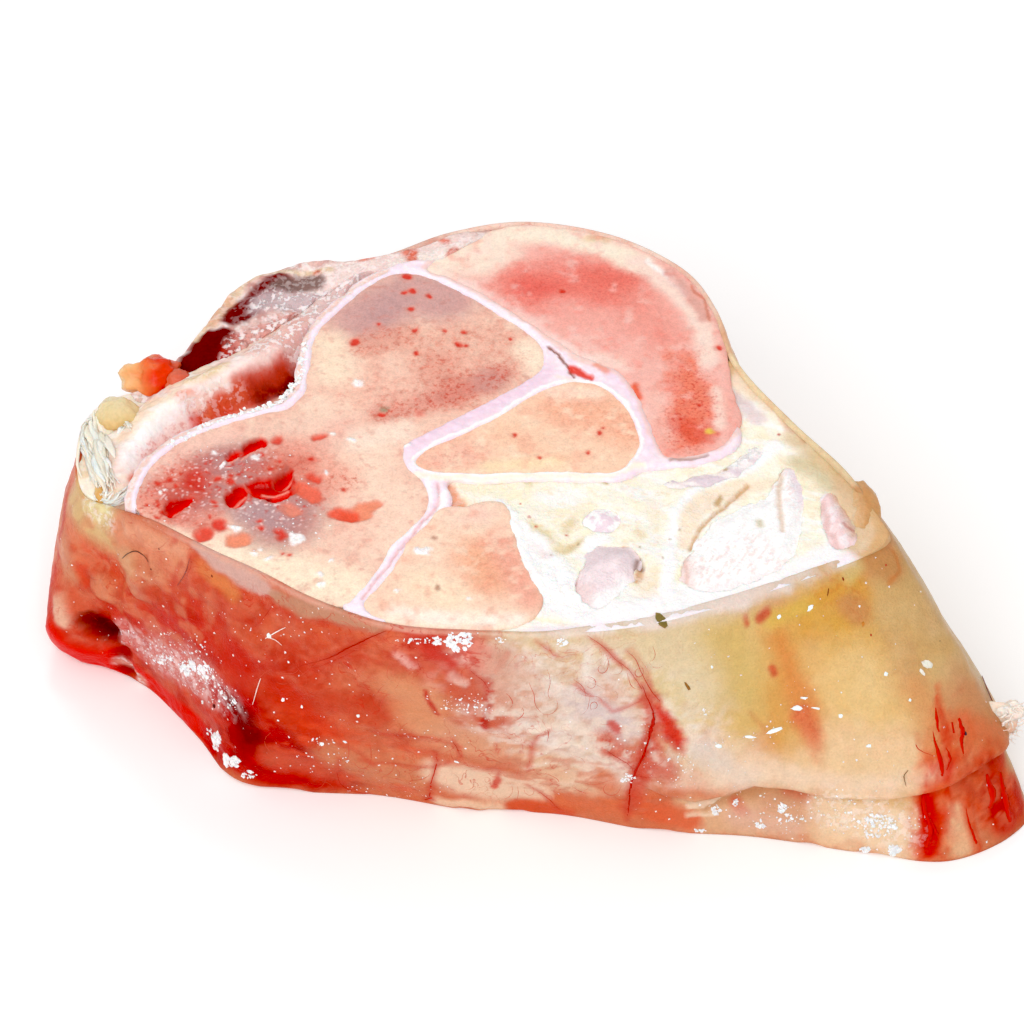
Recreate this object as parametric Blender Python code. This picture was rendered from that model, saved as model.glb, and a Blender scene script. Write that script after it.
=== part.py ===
"""A raw veal knuckle bone: one thick slice sawn across the joint, lying on its lower cut.

Four bones, the cartilage between them, fat, tendons, joint capsule and muscle stand upright
in a wall of meat and fascia, and all run through the slice from the sawn face to the foot.
"""

import math

import bmesh
import bpy
import numpy as np
from mathutils import Vector
from mathutils.geometry import delaunay_2d_cdt

MM = 0.001

# Driving dimensions, in millimetres. The plan has +X to the right and +Y away from the front wall.
SLAB = 36.0  # height of the sawn face over the foot
GAP = 0.3  # clearance between neighbouring pieces
SKIN = 1.5  # thickness of the outer wall where it meets the sawn face
MIDDLE = (2.3, -1.23)  # plan position that becomes the part's origin
OUTLINE_STEP = 2.2  # spacing of the points along a piece's outline
WALL_COUNT = 124  # columns of faces around the outer wall
RELIEF_STEP = 3.2  # spacing of the points that carry a piece's upper relief
FINE_RELIEF = 2.3  # the same on small pieces
CARTILAGE_RISE = 0.3  # the cartilage stands this much above the sawn bone
FAT_SINK = 0.6  # the fat lies this much below it
TENDON_CROWN = 0.6  # and a cut tendon swells by this much in its middle
LEAN_X = (3.5, 0.09)  # sideways drift of the foot against the sawn face: constant and share of x
LEAN_Y = (3.0, 0.03)

# The outer wall: the rim of the sawn side as (x, y, z), and the foot under it as (x, y).
WALL = [
    ((50.0, -20.0, 35.0), (69.6, -36.0)),
    ((45.3, -10.5, 36.0), (62.0, -17.0)),
    ((38.4, -0.6, 36.0), (51.0, -2.0)),
    ((31.5, 11.0, 36.0), (40.0, 13.0)),
    ((28.8, 22.3, 36.0), (36.5, 26.5)),
    ((24.3, 31.0, 36.0), (30.5, 36.5)),
    ((14.5, 38.2, 36.0), (18.0, 43.0)),
    ((2.0, 41.2, 36.0), (4.0, 46.0)),
    ((-9.0, 38.8, 36.0), (-9.5, 44.5)),
    ((-19.0, 36.2, 35.0), (-21.0, 42.0)),
    ((-30.0, 36.4, 32.5), (-33.0, 41.0)),
    ((-39.3, 31.7, 31.0), (-44.0, 36.5)),
    ((-44.6, 22.3, 30.0), (-51.0, 28.0)),
    ((-50.5, 13.8, 29.0), (-57.5, 19.0)),
    ((-57.3, 9.0, 29.0), (-61.5, 11.5)),
    ((-60.0, 1.0, 29.3), (-62.3, 3.0)),
    ((-58.9, -8.0, 29.3), (-62.3, -8.0)),
    ((-54.0, -13.5, 32.0), (-56.0, -13.5)),
    ((-48.5, -19.8, 36.0), (-50.5, -17.5)),
    ((-40.0, -25.5, 36.0), (-43.2, -25.5)),
    ((-33.4, -29.5, 36.0), (-37.2, -32.8)),
    ((-26.0, -34.5, 36.0), (-29.5, -34.8)),
    ((-16.0, -39.0, 36.0), (-18.0, -36.8)),
    ((-5.0, -40.2, 36.0), (-6.0, -39.3)),
    ((6.0, -40.4, 36.0), (6.0, -40.2)),
    ((18.0, -38.6, 36.0), (18.5, -42.8)),
    ((29.8, -34.4, 36.0), (32.0, -44.2)),
    ((40.0, -29.8, 36.0), (46.5, -46.7)),
    ((47.3, -25.5, 35.5), (59.0, -48.5)),
    ((50.2, -22.6, 35.0), (68.6, -43.0)),
]
BULGE = 0.7  # how far the wall stands out at half height
LEFT_END = (-62.0, -6.0, 10.0, 1.9)  # x, y, reach and extra bulge of the rounded left lobe
RIGHT_END = (60.0, -30.0, 16.0, 1.2)
RED_LUMP = (-61.5, -11.0, 6.5)  # a round swelling low on the left
RED_LUMP_SIZE = (6.0, 3.0)  # reach and height
SEAM_HEIGHT = (8.4, 12.0)  # where the upper layer ends over the lower band, front and right corner
SEAM_LIP = 1.3
RIPPLE = 0.45  # depth of the slow waves in the wall
SEAM_START = 20.0  # the seam begins here and runs round the right corner
WALL_LEVELS = (0.0, 0.03, 0.12, 0.19, 0.23, 0.25, 0.29, 0.36, 0.48, 0.6, 0.72, 0.84, 0.93, 0.985)

# Plan outlines of the bones, the tendons and the layers around them.
BONE_LARGE = [
    (-50.0, -17.5), (-50.0, -13.5), (-48.5, -9.0), (-45.5, -5.0), (-41.0, -2.0), (-35.5, 0.5),
    (-31.0, 2.0), (-28.8, 5.0), (-28.1, 10.0), (-27.3, 17.0), (-24.5, 21.8), (-20.5, 27.0),
    (-16.0, 30.0), (-11.5, 28.8), (-6.5, 25.3), (-1.5, 20.8), (2.4, 17.0), (4.4, 13.2),
    (3.6, 9.5), (0.0, 6.0), (-5.0, 2.3), (-10.5, -1.8), (-14.5, -5.0), (-14.3, -9.0),
    (-12.3, -12.0), (-11.2, -15.0), (-11.8, -18.5), (-14.2, -21.8), (-16.4, -25.0), (-17.8, -28.8),
    (-19.8, -32.3), (-22.5, -35.0), (-31.0, -32.5), (-40.0, -26.0), (-47.5, -21.5),
]
BONE_UPPER = [
    (-12.0, 31.2), (-7.5, 35.5), (-2.0, 39.5), (5.0, 42.0), (12.5, 40.0), (19.0, 36.0),
    (24.5, 30.0), (28.5, 21.5), (29.6, 14.0), (30.0, 6.5), (31.0, 0.0), (28.9, -4.7),
    (25.0, -7.0), (21.2, -7.4), (19.8, -5.0), (18.7, -0.5), (17.3, 4.5), (15.3, 8.8),
    (12.0, 11.3), (8.5, 13.6), (5.5, 16.6), (1.0, 20.9), (-4.0, 25.6), (-9.0, 29.2),
]
BONE_CENTER = [
    (-13.0, -8.0), (-11.3, -6.0), (-7.5, -3.5), (-3.0, -0.5), (1.0, 3.0), (5.0, 6.2),
    (9.0, 7.4), (12.5, 6.2), (15.0, 3.3), (16.6, -0.5), (17.3, -4.5), (16.2, -7.8),
    (13.5, -10.3), (5.0, -10.3), (-5.0, -10.6), (-10.0, -10.3), (-12.6, -9.3),
]
BONE_FRONT = [
    (-17.2, -31.5), (-15.2, -27.5), (-13.6, -23.5), (-11.2, -20.0), (-9.3, -17.3), (-6.0, -17.0),
    (-2.5, -16.0), (-0.5, -17.8), (0.0, -21.5), (1.0, -26.5), (3.0, -31.5), (3.6, -35.0),
    (1.5, -38.0), (-4.0, -39.4), (-11.0, -39.0), (-17.0, -37.5), (-19.2, -35.0),
]
JOINT = [
    (-51.5, -19.5), (-51.5, -13.0), (-50.0, -8.2), (-46.5, -3.7), (-41.7, -0.4), (-36.0, 2.1),
    (-32.2, 3.5), (-30.4, 6.0), (-29.8, 10.5), (-28.8, 17.6), (-25.8, 23.0), (-21.6, 28.4),
    (-16.6, 31.9), (-11.5, 32.9), (-6.0, 31.0), (3.0, 22.5), (12.0, 15.0), (20.0, 9.0),
    (24.5, 2.0), (30.8, -1.4), (30.0, -5.8), (25.5, -8.6), (20.5, -9.2), (17.6, -9.6),
    (14.0, -11.7), (5.0, -11.7), (-5.0, -12.0), (-8.6, -12.0), (-8.2, -16.0), (-9.8, -21.0),
    (-12.8, -27.0), (-15.4, -33.0), (-17.2, -40.0), (-22.0, -40.0), (-24.0, -32.0), (-46.0, -18.0),
]
FAT_PAD = [
    (-3.0, -45.0), (-3.0, -20.0), (-11.0, -19.0), (-12.0, -8.0), (14.0, -5.0), (23.0, 0.0),
    (25.0, 12.0), (34.0, 10.0), (46.0, -4.0), (55.0, -20.0), (50.0, -30.0), (22.0, -45.0),
]
TENDON_ROUND = [
    (12.3, -23.5), (15.5, -24.0), (17.0, -26.5), (15.8, -30.2), (13.0, -34.2),
    (10.7, -35.8), (8.7, -33.5), (8.0, -30.5), (9.2, -27.0), (10.5, -24.5),
]
TENDON_SMALL = [(9.3, -19.2), (10.9, -16.9), (13.4, -17.0), (14.7, -19.2), (13.2, -21.4), (10.6, -21.2)]
TENDON_BROAD = [
    (22.5, -31.0), (22.2, -27.5), (24.0, -24.0), (26.3, -19.8), (30.0, -17.0), (33.8, -14.7),
    (35.2, -11.5), (36.4, -8.9), (38.0, -9.0), (38.9, -12.5), (39.0, -17.0), (38.4, -22.0),
    (37.0, -26.0), (34.5, -29.0), (31.0, -31.0), (26.0, -32.3),
]
TENDON_FLAT = [
    (21.0, -11.8), (24.0, -10.6), (28.0, -9.2), (31.0, -6.6), (33.0, -4.8),
    (33.9, -6.2), (32.3, -8.8), (29.8, -11.2), (25.2, -13.0), (21.6, -13.0),
]
TENDON_EDGE = [
    (41.3, -14.2), (43.3, -14.0), (44.9, -18.4), (45.2, -23.0), (43.8, -24.8), (42.2, -24.0),
    (41.4, -21.5), (40.9, -18.0),
]
CAPSULE = [
    (-51.0, -13.5), (-54.5, -12.0), (-56.6, -6.0), (-56.6, 0.0), (-54.0, 5.0), (-49.5, 10.0),
    (-44.5, 14.3), (-39.5, 17.5), (-34.5, 21.5), (-30.0, 25.8), (-25.5, 30.2), (-20.5, 32.4),
    (-19.0, 28.0), (-26.0, 16.0), (-28.0, 3.0), (-46.0, -6.0),
]
MUSCLE = [
    (-50.0, 9.5), (-53.5, 18.0), (-44.0, 30.0), (-30.0, 40.0), (-6.0, 42.0), (-4.0, 34.5),
    (-14.0, 28.0), (-30.0, 20.0),
]
LIGAMENT = [(-48.5, 8.0), (-54.0, 20.0), (-68.0, 8.0), (-66.0, -14.0), (-52.0, -20.0), (-50.0, -14.0)]

CAPSULE_CREST = [
    (-53.8, -10.0), (-53.2, -2.0), (-50.0, 4.5), (-44.5, 9.7),
    (-38.5, 13.7), (-33.5, 18.0), (-29.0, 23.0), (-24.5, 28.5),
]
CREST_HEIGHT = (33.0, 31.5)  # height of the ridge over the foot, at the back and at the left end
CREST_SLOPE = (5.0, 1.8)  # reach and drop of the ridge on its outer side
CAVITY_FLOOR = (28.0, 28.5)  # lowest point between the ridge and the large bone, back and left end
CAVITY_REACH = 4.5
MUSCLE_HEIGHT = (31.0, 35.0)  # left end and right end of the muscle's upper face
LIGAMENT_HEIGHT = 29.6
FAT_LOBES = [(-55.6, 6.8, 2.6, 1.4), (-56.2, -8.5, 2.4, 1.0)]  # x, y, reach and height on the ligament
MARROW_HOLES = [  # x, y, half length, half width, turn in degrees
    (-32.5, -13.2, 2.5, 2.2, 0.0),
    (-36.9, -15.2, 1.7, 1.7, 0.0),
    (-43.8, -15.4, 2.4, 1.3, 60.0),
    (-35.4, -5.9, 2.4, 1.1, 35.0),
    (-27.8, -14.2, 1.5, 1.3, 0.0),
    (-21.9, -18.6, 2.3, 1.1, 10.0),
]
MARROW_DEPTH = 1.2
SCRAP = [  # the scrap of meat that hangs on the back rim: centre and radii of its two lobes
    ((-52.4, 17.1, 26.9), (3.6, 3.2, 2.9)),
    ((-49.2, 20.6, 26.6), (3.3, 2.6, 2.5)),
]


def clear_scene():
    for obj in list(bpy.data.objects):
        bpy.data.objects.remove(obj, do_unlink=True)


def tissue(name, color, roughness):
    material = bpy.data.materials.new(name)
    material.use_nodes = True
    shader = material.node_tree.nodes["Principled BSDF"]
    shader.inputs["Base Color"].default_value = (*color, 1.0)
    shader.inputs["Roughness"].default_value = roughness
    shader.inputs["Metallic"].default_value = 0.0
    return material


def closed_spline(rows, count):
    """Rows of numbers as a closed Catmull-Rom curve, read at count points equally far apart in plan."""
    rows = np.asarray(rows, float)
    steps = np.linspace(0.0, 1.0, 16, endpoint=False)[:, None]
    before, after, beyond = np.roll(rows, 1, 0), np.roll(rows, -1, 0), np.roll(rows, -2, 0)
    fine = []
    for a, b, c, d in zip(before, rows, after, beyond):
        fine.append(0.5 * (2 * b + (c - a) * steps + (2 * a - 5 * b + 4 * c - d) * steps**2
                           + (3 * b - a - 3 * c + d) * steps**3))
    fine = np.vstack(fine + [rows[:1]])
    run = np.concatenate([[0.0], np.cumsum(np.hypot(*np.diff(fine[:, :2], axis=0).T))])
    wanted = np.linspace(0.0, run[-1], count, endpoint=False)
    return np.column_stack([np.interp(wanted, run, column) for column in fine.T])


def signed_area(loop):
    x, y = loop[:, 0], loop[:, 1]
    return 0.5 * float(np.sum(x * np.roll(y, -1) - np.roll(x, -1) * y))


def outline(points):
    """A piece's outline in plan, smooth and counter-clockwise."""
    corners = np.asarray(points, float)
    length = np.hypot(*(np.roll(corners, -1, 0) - corners).T).sum()
    loop = closed_spline(corners, max(12, round(length / OUTLINE_STEP)))
    return loop if signed_area(loop) > 0 else loop[::-1]


def outward(loop):
    """Unit normals of a counter-clockwise loop, pointing out."""
    along = np.roll(loop[:, :2], -1, 0) - np.roll(loop[:, :2], 1, 0)
    along /= np.hypot(*along.T)[:, None]
    return np.column_stack([along[:, 1], -along[:, 0]])


def grown(loop, amount):
    moved = loop.copy()
    moved[:, :2] += outward(loop) * amount
    return moved


def lean(x, y, z):
    """The place of a plan point at height z, as the joint drifts towards its foot."""
    share = (SLAB - z) / SLAB
    return (x + share * (LEAN_X[0] + LEAN_X[1] * x), y + share * (LEAN_Y[0] + LEAN_Y[1] * y), z)


def vertex(mesh, x, y, z):
    return mesh.verts.new(Vector(((x - MIDDLE[0]) * MM, (y - MIDDLE[1]) * MM, z * MM)))


def add_object(name, mesh, material):
    bmesh.ops.triangulate(mesh, faces=mesh.faces)
    bmesh.ops.recalc_face_normals(mesh, faces=mesh.faces)
    data = bpy.data.meshes.new(name)
    mesh.to_mesh(data)
    mesh.free()
    data.materials.append(material)
    data.shade_smooth()
    data.set_sharp_from_angle(angle=math.radians(40))
    obj = bpy.data.objects.new(name, data)
    bpy.context.scene.collection.objects.link(obj)
    return obj


def plan_region(inside, outside, relief_points):
    """Triangles of the plan area that lies in every loop of inside and in none of outside."""
    points, faces = [], []
    for loop in [*inside, *outside]:
        faces.append(list(range(len(points), len(points) + len(loop))))
        points += [Vector(p) for p in loop[:, :2]]
    points += [Vector(p) for p in relief_points]
    verts, _, triangles, _, _, parents = delaunay_2d_cdt(points, [], faces, 1, 1e-4)
    wanted = set(range(len(inside)))
    kept = [t for t, owners in zip(triangles, parents) if set(owners) == wanted]
    return verts, largest_patch(kept)


def largest_patch(triangles):
    """The biggest group of triangles that share edges; loose scraps are dropped."""
    by_edge = {}
    for number, triangle in enumerate(triangles):
        for a, b in zip(triangle, triangle[1:] + triangle[:1]):
            by_edge.setdefault((min(a, b), max(a, b)), []).append(number)
    links = {number: set() for number in range(len(triangles))}
    for users in by_edge.values():
        for number in users:
            links[number].update(users)
    left, best = set(links), set()
    while left:
        patch, queue = set(), [left.pop()]
        while queue:
            number = queue.pop()
            patch.add(number)
            queue.extend(links[number] & left)
            left -= links[number]
        if len(patch) > len(best):
            best = patch
    return [triangles[number] for number in sorted(best)]


def upright(name, material, inside, outside, height, relief_step=None, marks=()):
    """A piece that runs through the slice, with its upper face at height(x, y)."""
    marks = list(marks)
    if relief_step:
        low, high = inside[0][:, :2].min(0), inside[0][:, :2].max(0)
        room = grown(inside[0], -0.45 * relief_step)
        for row, y in enumerate(np.arange(low[1], high[1], relief_step * 0.87)):
            for x in np.arange(low[0] + 0.5 * relief_step * (row % 2), high[0], relief_step):
                if in_loop(x, y, room) and not any(in_loop(x, y, grown(o, 1.0)) for o in outside):
                    marks.append((x, y))
    points, triangles = plan_region(inside, outside, marks)
    mesh = bmesh.new()
    tops, feet = {}, {}
    for number in sorted({n for triangle in triangles for n in triangle}):
        x, y = points[number]
        tops[number] = vertex(mesh, *lean(x, y, height(x, y)))
        feet[number] = vertex(mesh, *lean(x, y, 0.0))
    ends = {}
    for triangle in triangles:
        mesh.faces.new([tops[n] for n in triangle])
        mesh.faces.new([feet[n] for n in reversed(triangle)])
        for a, b in zip(triangle, triangle[1:] + triangle[:1]):
            ends[(a, b)] = (b, a) not in ends
            if not ends[(a, b)]:
                ends[(b, a)] = False
    for (a, b), open_edge in ends.items():
        if open_edge:
            mesh.faces.new([tops[b], tops[a], feet[a], feet[b]])
    inner_feet = [v for v in feet.values() if all(edge.other_vert(v).co.z < 1e-6 for edge in v.link_edges)]
    bmesh.ops.dissolve_verts(mesh, verts=inner_feet)
    return add_object(name, mesh, material)


def in_loop(x, y, loop):
    ax, ay = loop[:, 0], loop[:, 1]
    bx, by = np.roll(ax, -1), np.roll(ay, -1)
    crosses = (ay > y) != (by > y)
    reach = ax[crosses] + (y - ay[crosses]) * (bx - ax)[crosses] / (by - ay)[crosses]
    return int(np.sum(x < reach)) % 2 == 1


def distance_to(x, y, line, closed=True):
    a = line[:, :2] if closed else line[:-1, :2]
    b = np.roll(line[:, :2], -1, 0) if closed else line[1:, :2]
    point = np.array([x, y])
    along = b - a
    share = np.clip(((point - a) * along).sum(1) / (along**2).sum(1), 0.0, 1.0)
    nearest = a + along * share[:, None]
    return float(np.hypot(*(point - nearest).T).min())


def smooth(value):
    value = min(1.0, max(0.0, value))
    return value * value * (3 - 2 * value)


def mix(ends, share):
    return ends[0] + (ends[1] - ends[0]) * share


def unevenness(x, y):
    """Slow soft waves, from -1 to 1, that keep the soft tissue from looking planed."""
    return 0.5 * math.sin(0.55 * x + 0.9 * math.sin(0.31 * y)) + 0.5 * math.sin(0.62 * y + 1.3 * math.sin(0.27 * x))


def marrow(x, y):
    """How deep the open marrow holes are at a point of the sawn face."""
    deepest = 0.0
    for cx, cy, length, width, turn in MARROW_HOLES:
        along = math.cos(math.radians(turn)) * (x - cx) + math.sin(math.radians(turn)) * (y - cy)
        across = math.cos(math.radians(turn)) * (y - cy) - math.sin(math.radians(turn)) * (x - cx)
        reach = (along / length) ** 2 + (across / width) ** 2
        deepest = max(deepest, MARROW_DEPTH * (1 - reach))
    return deepest


def marrow_marks():
    marks = []
    for cx, cy, length, width, turn in MARROW_HOLES:
        c, s = math.cos(math.radians(turn)), math.sin(math.radians(turn))
        marks.append((cx, cy))
        for share, count in ((1.0, 10), (0.55, 6)):
            for step in range(count):
                angle = 2 * math.pi * step / count
                u, v = share * length * math.cos(angle), share * width * math.sin(angle)
                marks.append((cx + c * u - s * v, cy + s * u + c * v))
    return marks


def bone_height(x, y):
    return SLAB - marrow(x, y)


def cartilage_height(x, y):
    return SLAB + CARTILAGE_RISE


def tendon_height(loop):
    return lambda x, y: SLAB - FAT_SINK + TENDON_CROWN * (0.35 + smooth(distance_to(x, y, loop) / 3.0))


def fat_height(x, y):
    return SLAB - FAT_SINK + 0.3 * unevenness(x, y)


def capsule_height(x, y):
    """The rounded ridge of the joint capsule, falling to the cavity beside the large bone."""
    crest = np.asarray(CAPSULE_CREST)
    away = distance_to(x, y, crest, closed=False)
    left_share = smooth((-44.0 - x) / 10.0)
    top = mix(CREST_HEIGHT, left_share)
    if beside(x, y, crest) > 0:
        return top - CREST_SLOPE[1] * smooth(away / CREST_SLOPE[0])
    return top - (top - mix(CAVITY_FLOOR, left_share)) * smooth(away / CAVITY_REACH)


def crest_marks():
    """Points along the capsule's ridge, so that its faces keep a clean crest."""
    crest = np.asarray(CAPSULE_CREST)
    return [tuple(a + (b - a) * share) for a, b in zip(crest, crest[1:]) for share in (0.0, 0.33, 0.67)]


def beside(x, y, line):
    """Positive on the left of an open line, negative on its right."""
    middle = 0.5 * (line[1:] + line[:-1])
    near_piece = int(np.argmin(np.hypot(*(middle - (x, y)).T)))
    a, b = line[near_piece], line[near_piece + 1]
    return (b[0] - a[0]) * (y - a[1]) - (b[1] - a[1]) * (x - a[0])


def muscle_height(x, y):
    return mix(MUSCLE_HEIGHT, smooth((x + 38.0) / 24.0)) + 0.5 * unevenness(x, y)


def ligament_height(x, y):
    lobes = sum(near(x, y, lobe) for lobe in FAT_LOBES)
    return LIGAMENT_HEIGHT + lobes + 0.4 * unevenness(1.6 * x, 1.6 * y)


def near(x, y, place):
    cx, cy, reach, amount = place
    return amount * math.exp(-((x - cx) ** 2 + (y - cy) ** 2) / reach**2)


def wall_columns():
    """The wall's columns: rim, foot and the outward direction of each."""
    columns = closed_spline([(*rim, *foot) for rim, foot in WALL], WALL_COUNT)
    facing = outward(columns)
    return [(rim[:3], rim[3:], way) for rim, way in zip(columns, facing)]


def wall_point(rim, foot, way, share):
    """A point of the outer wall, share of the way up from the foot to the rim."""
    x, y = foot + (rim[:2] - foot) * share
    z = rim[2] * share
    belly = BULGE + near(foot[0], foot[1], LEFT_END) + near(foot[0], foot[1], RIGHT_END)
    out = belly * 4 * share * (1 - share)
    fade = smooth((foot[0] - SEAM_START + 6) / 12) * smooth((0.6 - way[1]) / 0.7)
    seam = mix(SEAM_HEIGHT, smooth((foot[0] - 50) / 16))
    if z > seam:
        out += SEAM_LIP * fade * (1 - smooth((z - seam) / 16))
    off_lump = math.dist((x, y, z), RED_LUMP) / RED_LUMP_SIZE[0]
    out += RED_LUMP_SIZE[1] * math.exp(-(off_lump**2))
    ripple = math.sin(0.23 * x + 0.4 * z) * math.sin(0.19 * y - 0.21 * z + 0.8)
    out += RIPPLE * ripple * math.sin(math.pi * min(1.0, 0.15 + 0.85 * share))
    return x + way[0] * out, y + way[1] * out, z


def rim_loop():
    return np.array([rim[:2] for rim, _, _ in wall_columns()])


def make_flesh(material):
    """The outer wall as a ring: up the outside, over the rim, down the pocket and back along the foot."""
    mesh = bmesh.new()
    rings = []
    columns = wall_columns()
    for share in WALL_LEVELS:
        rings.append([vertex(mesh, *wall_point(rim, foot, way, share)) for rim, foot, way in columns])
    pocket = grown(rim_loop(), -SKIN)
    shoulder = grown(rim_loop(), -0.4 * SKIN)
    heights = [rim[2] for rim, _, _ in columns]
    rings.append([vertex(mesh, x, y, z) for (x, y), z in zip(shoulder, heights)])
    rings.append([vertex(mesh, *lean(x, y, z)) for (x, y), z in zip(pocket, heights)])
    rings.append([vertex(mesh, *lean(x, y, 0.0)) for x, y in pocket])
    for lower, upper in zip(rings, rings[1:] + rings[:1]):
        for i in range(WALL_COUNT):
            j = (i + 1) % WALL_COUNT
            mesh.faces.new([lower[i], lower[j], upper[j], upper[i]])
    flesh = add_object("flesh", mesh, material)
    fuse(flesh, [uneven_lump(f"scrap_{number}", *lobe) for number, lobe in enumerate(SCRAP)])


def uneven_lump(name, center, radii):
    mesh = bmesh.new()
    bmesh.ops.create_icosphere(mesh, subdivisions=3, radius=1.0)
    for vert in mesh.verts:
        swell = 1 + 0.12 * math.sin(4 * vert.co.x + center[0]) * math.sin(5 * vert.co.y + 3 * vert.co.z)
        vert.co = Vector(((center[k] + radii[k] * swell * vert.co[k] - (*MIDDLE, 0.0)[k]) * MM for k in range(3)))
    data = bpy.data.meshes.new(name)
    mesh.to_mesh(data)
    mesh.free()
    lump = bpy.data.objects.new(name, data)
    bpy.context.scene.collection.objects.link(lump)
    return lump


def fuse(obj, others):
    """Joins the others to obj, then removes them."""
    bpy.context.view_layer.update()
    for other in others:
        union = obj.modifiers.new("union", "BOOLEAN")
        union.operation = "UNION"
        union.solver = "EXACT"
        union.object = other
        graph = bpy.context.evaluated_depsgraph_get()
        joined = bpy.data.meshes.new_from_object(obj.evaluated_get(graph))
        obj.modifiers.remove(union)
        obj.data = joined
        bpy.data.objects.remove(other, do_unlink=True)


def build():
    clear_scene()
    fence = grown(rim_loop(), -SKIN - GAP)
    large, upper = outline(BONE_LARGE), outline(BONE_UPPER)
    center, front = outline(BONE_CENTER), outline(BONE_FRONT)
    joint, capsule, muscle = outline(JOINT), outline(CAPSULE), outline(MUSCLE)
    tendons = {
        "tendon_round": outline(TENDON_ROUND),
        "tendon_small": outline(TENDON_SMALL),
        "tendon_broad": outline(TENDON_BROAD),
        "tendon_flat": outline(TENDON_FLAT),
        "tendon_edge": outline(TENDON_EDGE),
    }

    bone = tissue("bone", (0.86, 0.62, 0.46), 0.45)
    red_bone = tissue("red_bone", (0.80, 0.38, 0.30), 0.45)
    white = tissue("cartilage", (0.86, 0.78, 0.80), 0.35)
    fat = tissue("fat", (0.87, 0.80, 0.60), 0.5)
    sinew = tissue("tendon", (0.85, 0.76, 0.74), 0.4)
    pale = tissue("capsule", (0.88, 0.66, 0.52), 0.3)
    dark = tissue("muscle", (0.26, 0.04, 0.03), 0.5)
    red = tissue("flesh", (0.68, 0.22, 0.13), 0.35)

    make_flesh(red)
    upright("bone_large", bone, [large, fence], [], bone_height, marks=marrow_marks())
    upright("bone_upper", red_bone, [upper, fence], [], bone_height)
    upright("bone_center", bone, [center, fence], [], bone_height)
    upright("bone_front", bone, [front, fence], [], bone_height)
    around_bones = [grown(loop, GAP) for loop in (large, upper, center, front)]
    upright("cartilage", white, [joint, fence], around_bones, cartilage_height)
    around_tendons = [grown(loop, GAP) for loop in tendons.values()]
    beside_joint = [grown(joint, GAP), *around_bones]
    upright("fat_pad", fat, [outline(FAT_PAD), fence], beside_joint + around_tendons, fat_height, RELIEF_STEP)
    for name, loop in tendons.items():
        upright(name, sinew, [loop, fence], [], tendon_height(loop), FINE_RELIEF)
    upright("joint_capsule", pale, [capsule, fence], beside_joint, capsule_height, FINE_RELIEF, crest_marks())
    beside_capsule = [*beside_joint, grown(capsule, GAP)]
    upright("muscle_back", dark, [muscle, fence], beside_capsule, muscle_height, RELIEF_STEP)
    beside_muscle = [*beside_capsule, grown(muscle, GAP)]
    upright("ligament", fat, [outline(LIGAMENT), fence], beside_muscle, ligament_height, FINE_RELIEF)


build()
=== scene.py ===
"""The looks of a raw veal knuckle bone, a thick slice sawn across a calf's joint.

Lengths are millimetres in the plan frame of the part's outlines: +X to the right, +Y away from the
front wall, Z up from the lower cut. Colours are laid on as strokes. A stroke's points are places in
the photograph, sent through the photograph's camera onto the surface that they belong to.
"""

import itertools
import math

import bpy
import numpy as np
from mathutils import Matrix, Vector
from mathutils.bvhtree import BVHTree
from mathutils.geometry import delaunay_2d_cdt


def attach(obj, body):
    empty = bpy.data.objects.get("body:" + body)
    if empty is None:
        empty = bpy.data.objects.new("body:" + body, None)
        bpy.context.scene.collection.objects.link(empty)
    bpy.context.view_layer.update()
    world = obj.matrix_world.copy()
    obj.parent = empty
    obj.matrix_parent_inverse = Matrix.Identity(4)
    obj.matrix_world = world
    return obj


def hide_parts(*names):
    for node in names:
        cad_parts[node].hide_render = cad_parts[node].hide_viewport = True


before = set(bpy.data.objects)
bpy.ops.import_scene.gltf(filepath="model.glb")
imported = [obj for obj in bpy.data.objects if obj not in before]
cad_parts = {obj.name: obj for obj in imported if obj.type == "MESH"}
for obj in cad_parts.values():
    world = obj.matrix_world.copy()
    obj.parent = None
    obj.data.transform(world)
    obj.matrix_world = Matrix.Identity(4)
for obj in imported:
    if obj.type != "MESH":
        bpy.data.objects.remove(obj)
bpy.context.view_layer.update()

MM = 0.001
SLAB = 36.0  # height of the sawn face over the foot
MIDDLE = (2.3, -1.23)  # plan position of the frame's origin
LEAN_X = (3.5, 0.09)  # sideways drift of the foot against the sawn face: constant and share of x
LEAN_Y = (3.0, 0.03)

# The photograph's camera.
PHOTO_SIZE = 1024
PIXEL = 0.14  # real size of one of its pixels at the aim point
VIEW_DISTANCE = 550.0
ELEVATION = math.radians(45.0)
AIM = np.array([0.0, 0.0, 18.0])
BACK = np.array([0.0, -math.cos(ELEVATION), math.sin(ELEVATION)])
UP = np.array([0.0, math.sin(ELEVATION), math.cos(ELEVATION)])
RIGHT = np.array([1.0, 0.0, 0.0])
EYE = AIM + BACK * VIEW_DISTANCE

# Spacing of the points that carry colour and relief.
OUTLINE_STEP = 0.3
FINE_STEP = 0.27
FOOT_STEP = 1.3  # for the lower cut
WALL_COLUMNS = 780
FRONT_SHARE = 2.0  # the wall's columns stand this much closer at the front than at the back
LOWER_ROWS = 32  # rows of the wall below its seam
UPPER_ROWS = 68
PLAIN_ROWS = 60  # rows of the bare wall that the seam is placed on
EDGE = 1.8  # reach of the rounding where the wall turns into the sawn face at the right front
RIM = 0.5  # width of the wall's skin where it meets the sawn face
TENDON_WAVES = 0.6  # unevenness of the tendons' outlines
OVERLAP = 0.3  # the pieces pass under each other by this much, so no gap shows
SIDE_DEPTHS = (0.25, 0.7, 1.6, 3.2, 6.0, 12.0)  # rows of points on a piece's sides, below its edge

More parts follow.
